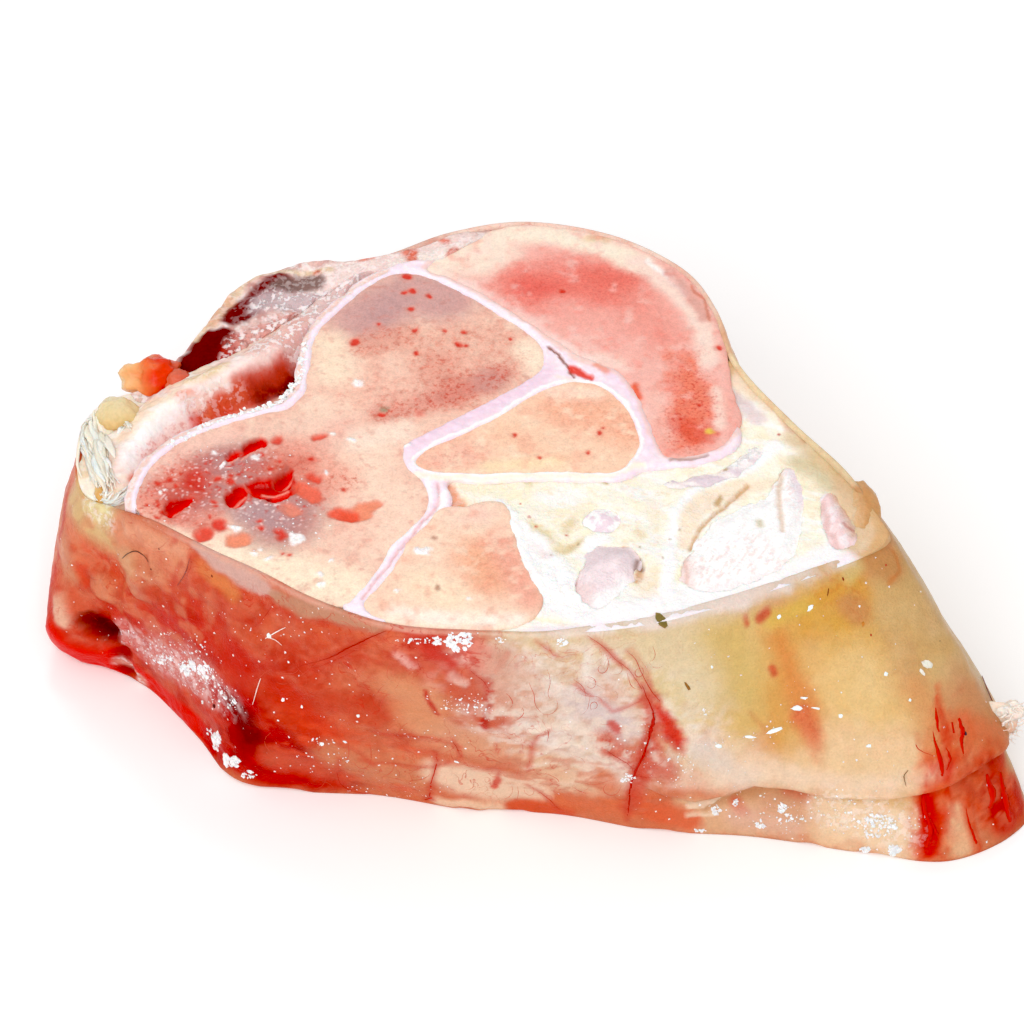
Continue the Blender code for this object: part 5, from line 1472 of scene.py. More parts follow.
def paint_middle_wall(skin):
    """Orange and red membrane that turns beige towards the right, with whirls of fascia."""
    skin.strokes([
        ([(276, 758), (310, 766), (340, 774)], 4.0, 3.0, (212, 96, 70), 0.8),
        ([(336, 756), (380, 768), (420, 774)], 6.0, 3.0, (212, 134, 98), 0.85),
        ([(434, 772), (464, 778), (500, 786), (534, 790)], (4, 6, 6.5, 5), 2.6, (239, 204, 176), 0.95),
        ([(430, 728), (470, 744), (510, 752)], 5.0, 3.0, (222, 162, 128), 0.8),
        ([(540, 764), (566, 776), (588, 778)], 6.0, 3.0, (230, 186, 154), 0.85),
        ([(594, 774), (608, 784)], 3.6, 2.2, (220, 126, 90), 0.9),
        ([(462, 688), (482, 698), (490, 716)], 6.0, 2.6, (204, 92, 64), 0.95),
        ([(404, 660), (440, 664), (470, 672)], 4.0, 3.0, (212, 96, 70), 0.6),
        ([(404, 690), (424, 700), (420, 716)], 6.0, 4.0, (221, 148, 108), 0.9, {"vein": 0.1}),
        ([(320, 700), (352, 704), (372, 712)], 5.0, 3.0, (198, 62, 38), 0.7),
        ([(418, 640), (436, 654), (450, 664)], (3, 4, 3), 2.0, (204, 60, 48), 0.9, {"wobble": 1.0}),
        ([(470, 646), (486, 656), (490, 664)], 4.4, 1.8, (228, 132, 116), 0.9, {"relief": 0.6}),
        ([(505, 632), (507, 652), (498, 668)], 0.8, 0.6, (206, 56, 42), 0.85),
        ([(489, 681), (487, 704), (484, 728)], 1.2, 0.9, (180, 30, 20), 0.85, {"red": 0.8}),
        ([(427, 692), (430, 702), (437, 714)], 0.7, 0.5, (196, 34, 22), 0.9),
        ([(396, 628), (440, 636), (500, 636)], 1.4, 0.9, (204, 62, 48), 0.8),
        ([(400, 656), (412, 664)], 1.8, 1.0, (236, 176, 164), 0.8, {"relief": 0.3}),
        ([(453, 676), (462, 682)], 1.6, 0.9, (236, 190, 174), 0.8, {"relief": 0.3}),
        ([(500, 660), (512, 700)], 6.0, 4.0, (220, 170, 148), 0.8, {"vein": 0.3}),
        ([(530, 730), (560, 724), (600, 734), (606, 760)], 1.4, 1.2, (242, 222, 204), 0.9, {"relief": 0.4}),
        ([(538, 752), (570, 742), (600, 752)], 1.0, 0.9, (244, 226, 208), 0.9, {"relief": 0.4}),
        ([(526, 766), (560, 760), (596, 770)], 1.0, 0.9, (238, 212, 190), 0.8, {"relief": 0.3}),
        ([(530, 780), (560, 784), (590, 778)], 1.2, 1.0, (238, 204, 178), 0.7, {"relief": 0.25}),
        ([(584, 700), (606, 716), (622, 726)], 5.0, 3.0, (222, 204, 200), 0.85),
        ([(436, 800), (460, 803), (500, 808)], 2.0, 1.2, (240, 200, 168), 0.9, {"relief": 0.3}),
        ([(514, 808), (540, 808), (566, 812)], 2.4, 1.4, (216, 90, 58), 0.9),
        ([(636, 806), (668, 816), (690, 822)], 3.6, 2.0, (224, 104, 68), 0.9),
        ([(604, 740), (622, 752), (640, 772)], 3.2, 2.0, (210, 104, 80), 0.8, {"red": 0.6}),
        ([(612, 724), (620, 730)], 1.4, 0.8, (204, 70, 56), 0.85, {"wobble": 0.3}),
        ([(648, 700), (656, 722), (652, 748), (640, 780), (630, 806)], 2.6, 2.0, (210, 84, 64), 0.8,
         {"red": 0.4, "wobble": 0.3}),
        ([(650, 752), (662, 766)], 4.0, 2.6, (210, 106, 88), 0.85),
    ])
    skin.cloud((236, 214, 198), 1.3, 0.5, 0.62, 0.8, 141, ([(530, 720), (620, 740)], 14, 6), CRUMPLED)
    skin.cloud((206, 120, 92), 1.0, 0.52, 0.66, 0.6, 142, ([(530, 770), (640, 790)], 9, 5), LEVEL)
    skin.cloud((196, 50, 36), 1.0, 0.54, 0.66, 0.6, 143, ([(400, 646), (480, 664)], 6, 4))
    for pixels, radii, _ in VESSELS:
        width = np.interp(np.linspace(0, 1, len(pixels)), np.linspace(0, 1, len(radii)), radii)
        skin.stroke(pixels, list(2.4 * width + 0.5), (204, 66, 48), 0.9, 0.55, 0.15)


def paint_right_wall(skin):
    """Yellow and cream fat under thin fascia, the seam, and the bloody corner."""
    skin.strokes([
        ([(660, 650), (694, 660), (706, 690)], 7.0, 5.0, (230, 208, 170), 0.85),
        ([(718, 640), (738, 660), (744, 690)], 6.0, 5.0, (220, 188, 120), 0.7),
        ([(772, 620), (800, 606), (850, 580)], 2.4, 1.6, (226, 186, 96), 0.8, {"relief": 0.2}),
        ([(828, 588), (850, 592), (858, 604)], 5.0, 3.0, (224, 162, 76), 0.85, {"red": 0.2}),
        ([(848, 604), (860, 612)], 3.4, 2.4, (212, 150, 100), 0.8),
        ([(862, 562), (850, 574)], 2.4, 1.6, (226, 198, 130), 0.8),
        ([(878, 558), (894, 568)], 4.4, 2.4, (208, 150, 96), 0.9),
        ([(894, 552), (900, 572), (890, 584)], 0.8, 0.6, (208, 126, 70), 0.7),
        ([(779, 640), (790, 670), (802, 696), (808, 716)], (2.0, 2.6, 4.0, 4.4), 3.0, (226, 144, 80), 0.85),
        ([(804, 716), (812, 736), (816, 756)], (3.2, 3.0, 1.4), 2.0, (226, 124, 86), 0.85, {"red": 0.3}),
        ([(806, 752), (812, 760)], 1.2, 0.8, (206, 50, 34), 0.9, {"wobble": 0.2}),
        ([(766, 612), (760, 618)], 1.4, 0.8, (208, 84, 64), 0.85, {"wobble": 0.3, "red": 0.6}),
        ([(744, 614), (746, 624)], 0.8, 0.7, (208, 86, 64), 0.8, {"wobble": 0.2}),
        ([(771, 667), (774, 674)], 1.0, 0.7, (210, 84, 58), 0.85, {"wobble": 0.2}),
        ([(916, 690), (926, 712), (930, 740)], 4.0, 3.0, (228, 160, 104), 0.7),
        ([(700, 748), (724, 762), (740, 772)], 4.0, 3.0, (226, 210, 200), 0.7),
        ([(684, 776), (712, 778), (744, 768), (790, 770), (840, 780), (890, 783), (940, 770)], 3.0, 2.4,
         (244, 216, 192), 0.8),
        # the lip's pale edge, partly tissue colour and partly a painted highlight
        ([(676, 790), (712, 789), (756, 776), (800, 780), (860, 789), (920, 787), (960, 767)], 1.0, 0.8,
         (250, 232, 214), 0.8, {"wobble": 0.2}),
        # painted shade: a brown band under the seam's overhanging lip, with white crumbs
        ([(704, 800), (740, 794), (790, 794), (830, 798)], 2.6, 1.6, (196, 138, 94), 0.8, {"speck": 0.3}),
        ([(690, 806), (712, 800), (728, 794)], 1.2, 0.7, (244, 218, 192), 0.8, {"relief": 0.4}),
        ([(688, 816), (716, 812)], 1.0, 0.6, (244, 218, 190), 0.7, {"relief": 0.3}),
        ([(735, 800), (742, 812)], 1.6, 1.2, (212, 92, 68), 0.75),
        ([(740, 818), (790, 826)], 4.0, 2.6, (228, 180, 158), 0.7, {"speck": 0.5}),
        ([(790, 790), (808, 798)], 2.4, 1.6, (208, 100, 70), 0.8),
        ([(770, 804), (820, 812)], 3.4, 2.6, (216, 160, 128), 0.7, {"speck": 0.45}),
        ([(836, 806), (870, 816), (900, 830)], 7.0, 3.5, (244, 212, 178), 0.85, {"frost": 0.3, "speck": 0.6}),
        ([(846, 798), (910, 802)], 1.6, 1.4, (222, 178, 122), 0.7),
        ([(936, 686), (938, 706), (941, 726)], 0.9, 0.9, (222, 90, 54), 0.8, {"wobble": 0.2}),
        ([(936, 700), (941, 730), (944, 776)], (1.0, 2.2, 3.0), 1.0, (216, 44, 20), 0.95, {"wobble": 0.3}),
        ([(952, 726), (962, 720), (968, 742)], 3.2, 2.4, (230, 104, 62), 0.85),
        ([(960, 720), (961, 738), (963, 756)], 1.4, 0.7, (206, 26, 12), 0.9, {"wet": 0.4, "wobble": 0.3}),
        ([(976, 730), (990, 734), (996, 742)], 3.6, 2.4, (226, 116, 74), 0.8),
        ([(916, 732), (918, 750), (930, 756)], 1.0, 0.9, (222, 100, 64), 0.7, {"red": 0.8}),
        ([(946, 790), (960, 776), (990, 760), (1003, 752)], 2.4, 1.4, (212, 84, 50), 0.9),
        ([(926, 786), (927, 806), (932, 824), (930, 850)], (2.2, 2.8, 3.2, 2.4), 1.2, (210, 22, 10), 0.95,
         {"wet": 0.4, "wobble": 0.3}),
        ([(944, 786), (948, 806), (948, 826)], 2.6, 1.6, (222, 84, 44), 0.9),
        ([(956, 812), (960, 830), (962, 846)], (2.4, 3.4, 3.0), 1.6, (236, 188, 148), 0.9),
        ([(966, 800), (972, 830), (978, 850)], 1.6, 1.2, (218, 80, 44), 0.9, {"relief": 0.5}),
        ([(992, 776), (996, 800), (1004, 822)], (2.0, 3.4, 4.0), 1.8, (202, 20, 10), 0.9, {"wet": 0.3}),
        ([(1012, 780), (1018, 806)], 2.0, 1.4, (212, 60, 36), 0.85),
        ([(974, 770), (1004, 762)], 2.0, 1.4, (208, 62, 42), 0.8),
    ])
    for color, size, strength, seed, line in (
        ((214, 30, 14), 0.8, 0.6, 153, ([(940, 716), (944, 760), (936, 800), (930, 846)], (2, 6, 6, 5), 4)),
        ((240, 150, 110), 1.2, 0.4, 154, ([(950, 740), (970, 810), (1000, 800)], 8, 4)),
        ((190, 16, 8), 1.3, 0.5, 155, ([(984, 776), (1006, 800)], 9, 4)),
    ):
        skin.cloud(color, size, 0.48, 0.6, strength, seed, within=line, stretch=UPRIGHT)


def paint_wall(skin):
    """All that the outer wall shows: its zones, its details and the edge of the sawn face."""
    wall_base(skin)
    skin.strokes([
        ([(60, 560), (200, 620), (400, 700)], 40, 14, None, 1.0, {"vein": 0.6, "speck": 0.015, "wet": 0.2}),
        ([(420, 700), (660, 720)], 36, 12, None, 1.0, {"vein": 0.6, "speck": 0.02, "wet": 0.18}),
        ([(740, 700), (960, 720)], 40, 12, None, 1.0, {"vein": 0.04, "speck": 0.02, "wet": 0.15}),
        ([(180, 600), (240, 640), (320, 690)], 12, 8, None, 1.0, {"speck": 0.06}),
        ([(340, 760), (440, 740), (500, 720)], 9, 6, None, 1.0, {"speck": 0.12}),
        ([(440, 700), (486, 712)], 5, 4, None, 1.0, {"speck": 0.25}),
        ([(640, 740), (680, 780), (660, 800)], 6, 4, None, 1.0, {"speck": 0.25}),
        ([(800, 700), (760, 740), (720, 744)], 4, 3, None, 1.0, {"speck": 0.25}),
    ])
    paint_left_wall(skin)
    paint_middle_wall(skin)
    paint_right_wall(skin)
    line = np.array([(-4.0, -40.3, 36.0), (6.0, -40.4, 36.0), (18.0, -38.6, 36.0), (24.0, -36.8, 36.0),
                     (29.8, -34.4, 36.0), (40.0, -29.8, 36.0), (45.5, -26.8, 35.7)])
    for widths, edge, color, strength in (((1, 3, 4, 5, 4, 2, 1), 3.0, (228, 202, 164), 0.75),
                                          ((0, 1, 1.8, 2, 1.8, 1, 0.4), 1.4, (246, 228, 220), 0.85)):
        skin.stroke(line, widths, color, edge, strength, 0.6, vein=0.0, speck=0.0)
    skin.strokes([
        ([(660, 706), (668, 720), (676, 738), (679, 750)], (1.0, 2.0, 2.8, 1.2), 1.4, (216, 44, 26), 0.95,
         {"wobble": 0.6, "red": 0.6}),
        ([(670, 738), (676, 744)], 1.4, 1.2, (190, 18, 10), 0.8),
    ])
    line = np.array([(-49.0, -19.0, 36.0), (-40.0, -25.5, 36.0), (-33.4, -29.5, 36.0), (-26.0, -34.5, 36.0),
                     (-16.0, -39.0, 36.0), (-5.0, -40.2, 36.0)])
    skin.stroke(line, 0.9, (232, 176, 156), 0.7, 0.8, 0.3)


VEIN = (206, 78, 58)
STREAK = (202, 18, 6)
VESSELS = [  # photograph points along the veins and red lines on the wall, with radii and colour
    ([(296, 668), (304, 665), (329, 658), (345, 650), (359, 643), (386, 631)], (0.1, 0.12, 0.3, 0.3, 0.12),
     (160, 14, 8)),
    ([(306, 672), (318, 667), (336, 660), (352, 652), (366, 642)], (0.06, 0.12, 0.12, 0.06), (188, 30, 18)),
    ([(345, 658), (362, 656), (382, 664)], (0.06, 0.09, 0.05), (190, 44, 30)),
    ([(262, 664), (286, 650), (300, 640)], (0.05, 0.1, 0.05), (200, 50, 32)),
    ([(273, 604), (268, 612), (258, 624), (250, 632)], (0.12, 0.14, 0.1, 0.05), (190, 30, 20)),
    ([(279, 610), (300, 618), (330, 623), (367, 630)], (0.06, 0.1, 0.1, 0.06), (196, 60, 44)),
    ([(339, 759), (337, 776), (347, 789), (376, 796)], (0.06, 0.16, 0.18, 0.1), (196, 40, 26)),
    ([(340, 744), (356, 752), (374, 764)], (0.05, 0.1, 0.05), (204, 60, 42)),
    ([(374, 732), (400, 736), (429, 738), (460, 748)], (0.05, 0.12, 0.12, 0.05), (198, 48, 32)),
    ([(360, 760), (400, 764), (432, 768), (450, 762)], (0.05, 0.1, 0.1, 0.05), (204, 60, 40)),
    ([(435, 754), (437, 764), (432, 780), (430, 797)], (0.1, 0.24, 0.2, 0.22), (190, 26, 16)),
    ([(425, 800), (432, 798)], (0.2, 0.3), (200, 24, 12)),
    ([(452, 740), (458, 750), (461, 758)], (0.1, 0.16, 0.06), (170, 20, 12)),
    ([(642, 686), (650, 704), (653, 716), (652, 728), (645, 751), (635, 774), (630, 792), (627, 820)],
     (0.12, 0.24, 0.42, 0.46, 0.42, 0.3, 0.26, 0.18), (170, 10, 6)),
    ([(587, 635), (596, 642), (602, 646), (616, 660), (629, 670), (642, 689)],
     (0.1, 0.16, 0.12, 0.12, 0.12, 0.14), (198, 60, 44)),
    ([(590, 634), (610, 650), (622, 666)], (0.05, 0.08, 0.05), (204, 80, 62)),
    ([(627, 651), (636, 660), (642, 674), (652, 692), (660, 701)], (0.1, 0.16, 0.14, 0.2, 0.14),
     (200, 54, 36)),
    ([(632, 648), (646, 668), (652, 686)], (0.05, 0.1, 0.06), (206, 70, 50)),
    ([(536, 641), (545, 648), (556, 656)], (0.08, 0.12, 0.06), (200, 80, 60)),
    ([(576, 684), (584, 692), (592, 697)], (0.06, 0.13, 0.06), (200, 56, 38)),
    ([(549, 730), (538, 736), (532, 745), (531, 756), (528, 770)], (0.05, 0.12, 0.1, 0.14, 0.08),
     (204, 70, 48)),
    ([(604, 749), (618, 758), (628, 764), (635, 772)], (0.08, 0.16, 0.14, 0.1), (190, 34, 24)),
    ([(526, 784), (536, 790), (546, 797), (561, 811)], (0.06, 0.12, 0.2, 0.1), (204, 60, 40)),
    ([(600, 700), (612, 712), (630, 706), (642, 700)], (0.05, 0.09, 0.1, 0.1), (200, 70, 54)),
    ([(636, 776), (656, 778), (672, 770)], (0.12, 0.1, 0.05), (196, 40, 28)),
    ([(191, 556), (191, 566), (187, 576), (184, 586)], (0.1, 0.14, 0.1, 0.06), (172, 36, 28)),
    ([(182, 562), (176, 574), (170, 586)], (0.05, 0.09, 0.05), (190, 70, 54)),
    ([(466, 664), (472, 672), (484, 682), (489, 690)], (0.06, 0.12, 0.14, 0.1), (170, 20, 14)),
    ([(407, 640), (410, 648)], (0.1, 0.14), (170, 20, 14)),
    ([(417, 660), (420, 668)], (0.1, 0.12), (170, 20, 14)),
    ([(934, 724), (938, 744), (942, 760)], (0.1, 0.16, 0.1), (150, 12, 8)),
    ([(950, 696), (960, 690), (972, 684)], (0.08, 0.1, 0.06), (196, 50, 32)),
    ([(750, 712), (766, 730), (780, 740)], (0.05, 0.09, 0.05), (190, 120, 80)),
    ([(935, 704), (937, 718), (939, 732)], (0.15, 0.4, 0.25), STREAK),
    ([(932, 726), (936, 744), (941, 760), (943, 776)], (0.1, 0.35, 0.6, 0.3), STREAK),
    ([(946, 746), (950, 756), (946, 770)], (0.15, 0.35, 0.2), STREAK),
    ([(959, 718), (962, 730), (961, 740), (964, 756)], (0.35, 0.6, 0.45, 0.2), STREAK),
    ([(952, 722), (954, 733)], (0.3, 0.3), STREAK),
    ([(916, 730), (918, 748), (934, 756)], (0.1, 0.2, 0.1), STREAK),
    ([(924, 794), (926, 812), (931, 826), (926, 848)], (0.4, 0.7, 0.6, 0.4), STREAK),
    ([(930, 818), (938, 834)], (0.3, 0.6), STREAK),
    ([(966, 806), (970, 824), (977, 843)], (0.15, 0.35, 0.5), STREAK),
    ([(987, 774), (992, 794), (989, 808)], (0.35, 0.9, 0.4), STREAK),
    ([(1000, 772), (1005, 798), (1010, 822)], (0.3, 0.8, 0.5), STREAK),
]
TWIGS = [  # where fine veins branch: photograph point and reach, their number and main direction in degrees
    ((250, 640), (90, 40), 20, 20), ((330, 690), (80, 50), 20, 150), ((330, 775), (80, 20), 10, 0),
    ((420, 770), (60, 26), 10, 10), ((120, 580), (50, 40), 12, 40), ((560, 770), (60, 26), 12, 30),
    ((620, 690), (50, 50), 18, 60), ((540, 690), (60, 40), 8, 50), ((650, 780), (30, 30), 8, 80),
]
HAIRS = [  # photograph points along loose hairs and threads, radius and colour
    ([(123, 558), (129, 553), (137, 551), (145, 556), (149, 562)], 0.07, (70, 56, 52)),
    ([(908, 770), (904, 776), (906, 786)], 0.07, (120, 96, 60)),
    ([(974, 656), (982, 678), (990, 698), (998, 714)], 0.08, (110, 44, 40)),
    ([(178, 585), (186, 572), (190, 558)], 0.05, (120, 60, 60)),
    ([(266, 638), (276, 632), (286, 627)], 0.08, (255, 246, 236)),
    ([(268, 637), (276, 640), (282, 645)], 0.06, (255, 240, 226)),
    ([(261, 678), (257, 690), (253, 704)], 0.07, (250, 226, 214)),
]
FLAKES = [  # photograph point, half width and length, tilt in degrees and colour of bits on the wall
    (661, 620, 0.6, 1.3, 15, (128, 112, 62)), (688, 687, 0.22, 1.0, 30, (150, 104, 50)),
    (797, 708, 0.4, 1.0, 80, WHITE), (804, 698, 0.25, 0.6, 80, WHITE), (816, 708, 0.2, 0.9, 80, WHITE),
    (773, 731, 0.4, 1.3, 100, WHITE), (750, 737, 0.3, 0.9, 90, WHITE), (718, 746, 0.35, 0.6, 80, WHITE),
    (841, 716, 0.35, 0.4, 0, WHITE), (712, 667, 0.2, 0.3, 0, WHITE), (779, 617, 0.35, 0.35, 0, WHITE),
    (810, 608, 0.35, 0.7, 120, WHITE), (886, 674, 0.3, 0.4, 0, WHITE), (869, 746, 0.25, 0.5, 100, WHITE),
    (269, 636, 0.45, 0.45, 0, WHITE), (214, 706, 0.3, 0.35, 0, (90, 20, 16)),
    (151, 569, 0.16, 0.2, 30, (90, 30, 26)), (212, 576, 0.18, 0.24, 30, (120, 40, 30)),
    (159, 549, 0.14, 0.18, 0, (110, 50, 40)), (899, 541, 0.25, 0.3, 0, (70, 40, 36)),
    (886, 565, 0.18, 0.22, 0, (190, 60, 44)),
    (843, 579, 0.16, 0.3, 0, (150, 60, 34)), (828, 592, 0.12, 0.6, 160, (140, 70, 36)),
    (871, 635, 0.14, 0.26, 0, (190, 60, 40)), (863, 624, 0.3, 0.4, 0, (204, 130, 60)),
    (910, 700, 0.25, 0.3, 0, WHITE), (927, 664, 0.7, 1.0, 40, (250, 232, 214)),
    (922, 672, 0.35, 0.9, 20, (250, 236, 222)),
    (965, 733, 0.25, 0.4, 0, (60, 40, 60)), (940, 641, 0.1, 0.1, 0, (90, 70, 50)),
    (457, 762, 0.3, 0.5, 60, WHITE), (322, 744, 0.35, 0.4, 0, WHITE), (358, 716, 0.3, 0.35, 0, WHITE),
    (302, 707, 0.25, 0.3, 0, WHITE), (345, 742, 0.2, 0.35, 60, WHITE), (283, 700, 0.35, 0.4, 0, WHITE),
]
CRUMBLES = [  # photograph point, reach, count and size range of heaps of bone dust
    ((459, 640), (13, 11), 70, (0.25, 0.75)), ((437, 640), (5, 5), 18, (0.2, 0.6)),
    ((418, 641), (24, 3), 34, (0.12, 0.35)), ((500, 640), (8, 3), 10, (0.15, 0.3)),
    ((563, 642), (6, 4), 12, (0.2, 0.45)), ((163, 659), (10, 5), 40, (0.15, 0.45)),
    ((188, 667), (8, 7), 50, (0.2, 0.7)), ((206, 670), (8, 8), 44, (0.2, 0.6)),
    ((178, 650), (30, 20), 60, (0.1, 0.3)), ((212, 690), (18, 16), 50, (0.1, 0.4)),
    ((217, 741), (4, 8), 34, (0.3, 0.8)), ((231, 760), (7, 6), 34, (0.3, 0.9)),
    ((250, 775), (8, 4), 18, (0.2, 0.5)), ((209, 732), (3, 4), 10, (0.2, 0.4)),
    ((232, 705), (6, 6), 16, (0.15, 0.4)), ((464, 706), (24, 8), 40, (0.1, 0.3)),
    ((322, 742), (14, 5), 14, (0.1, 0.35)), ((318, 762), (30, 12), 22, (0.1, 0.25)),
    ((628, 778), (8, 5), 22, (0.15, 0.45)), ((876, 826), (20, 12), 80, (0.15, 0.45)),
    ((866, 850), (4, 3), 16, (0.3, 0.6)), ((895, 851), (6, 4), 24, (0.3, 0.8)),
    ((716, 810), (4, 4), 16, (0.25, 0.55)), ((735, 802), (3, 4), 12, (0.2, 0.5)),
    ((760, 824), (4, 4), 14, (0.25, 0.55)), ((782, 808), (4, 4), 14, (0.2, 0.5)),
    ((792, 820), (14, 7), 30, (0.1, 0.35)), ((700, 830), (6, 2), 10, (0.2, 0.4)),
    ((705, 712), (5, 3), 10, (0.12, 0.28)), ((680, 770), (14, 20), 30, (0.08, 0.22)),
    ((240, 790), (40, 8), 10, (0.1, 0.25)), ((300, 620), (90, 20), 40, (0.06, 0.2)),
    ((400, 790), (60, 12), 40, (0.06, 0.2)), ((130, 600), (60, 50), 30, (0.05, 0.18)),
]


class Pile:
    """Many small bodies of one kind, kept as one mesh."""

    def __init__(self):
        self.points, self.faces, self.tints, self.wet, self.count = [], [], [], [], 0

    def add(self, points, faces, color, wet=0.3):
        self.points.append(points)
        self.faces += [tuple(n + self.count for n in face) for face in faces]
        self.tints.append(np.ones((len(points), 1)) * (linear(color) if len(color) == 3 else color))
        self.wet.append(np.full(len(points), wet))
        self.count += len(points)

    def finish(self, name, material, slot, node=None, rounded=True):
        marks = {key: np.zeros(self.count) for key in MARKS} | {"wet": np.concatenate(self.wet)}
        points, tints = np.vstack(self.points), np.vstack(self.tints)
        add_piece(name, points, self.faces, tints, marks, material, node, slot, rounded)


def tube(pile, line, radii, color, sides=6, wet=0.5, flat=1.0):
    """A tapering strand along a line, with closed ends."""
    line = np.asarray(line, float)
    radii = np.interp(np.linspace(0, 1, len(line)), np.linspace(0, 1, len(radii)), radii)
    ahead = np.gradient(line, axis=0)
    ahead /= np.linalg.norm(ahead, axis=1)[:, None] + 1e-9
    side = np.cross(ahead, (0.1, 0.2, 1.0))
    side /= np.linalg.norm(side, axis=1)[:, None] + 1e-9
    top = np.cross(side, ahead)
    rings = []
    for k in range(sides):
        angle = 2 * math.pi * k / sides
        rings.append(line + (side * math.cos(angle) + top * math.sin(angle) * flat) * radii[:, None])
    points = np.stack(rings, axis=1).reshape(-1, 3)
    faces = []
    for i in range(len(line) - 1):
        for k in range(sides):
            j = (k + 1) % sides
            faces.append((i * sides + k, i * sides + j, (i + 1) * sides + j, (i + 1) * sides + k))
    faces += [tuple(range(sides))[::-1], tuple(range((len(line) - 1) * sides, len(line) * sides))]
    pile.add(points, faces, color, wet)


def ball(rings, sides):
    """Points and faces of a unit ball."""
    points, faces = [(0.0, 0.0, 1.0)], []
    for i in range(1, rings):
        angle = math.pi * i / rings
        wide, z = math.sin(angle), math.cos(angle)
        turns = [2 * math.pi * k / sides for k in range(sides)]
        points += [(wide * math.cos(turn), wide * math.sin(turn), z) for turn in turns]
    points.append((0.0, 0.0, -1.0))
    last = len(points) - 1
    for k in range(sides):
        j = (k + 1) % sides
        faces.append((0, 1 + k, 1 + j))
        faces.append((last, last - sides + j, last - sides + k))
        for i in range(rings - 2):
            a = 1 + i * sides
            faces.append((a + k, a + sides + k, a + sides + j, a + j))
    return np.array(points), faces


def lump(pile, center, radii, colors, toward, rough, seed, pinch=0.0):
    """A soft rounded body whose colours change in the direction toward, with an optional narrow waist."""
    points, faces = ball(36, 52)
    along = points @ np.array(toward) + 0.5 * (noise(points, 0.5, seed + 1, 2) - 0.5)
    swell = 1 + rough * 2 * (noise(points + 3.1 * seed, 0.8, seed, 2) - 0.5)
    swell += 0.8 * rough * (noise(points + seed, 0.22, seed + 5, 3) - 0.5)
    swell -= pinch * np.exp(-(((points[:, 0] + 0.45) / 0.25) ** 2))
    marks = np.linspace(-1, 1, len(colors))
    channels = np.array([linear(color) for color in colors]).T
    tint = np.column_stack([np.interp(along, marks, channel) for channel in channels])
    pile.add(np.asarray(center) + points * swell[:, None] * np.asarray(radii), faces, tint)


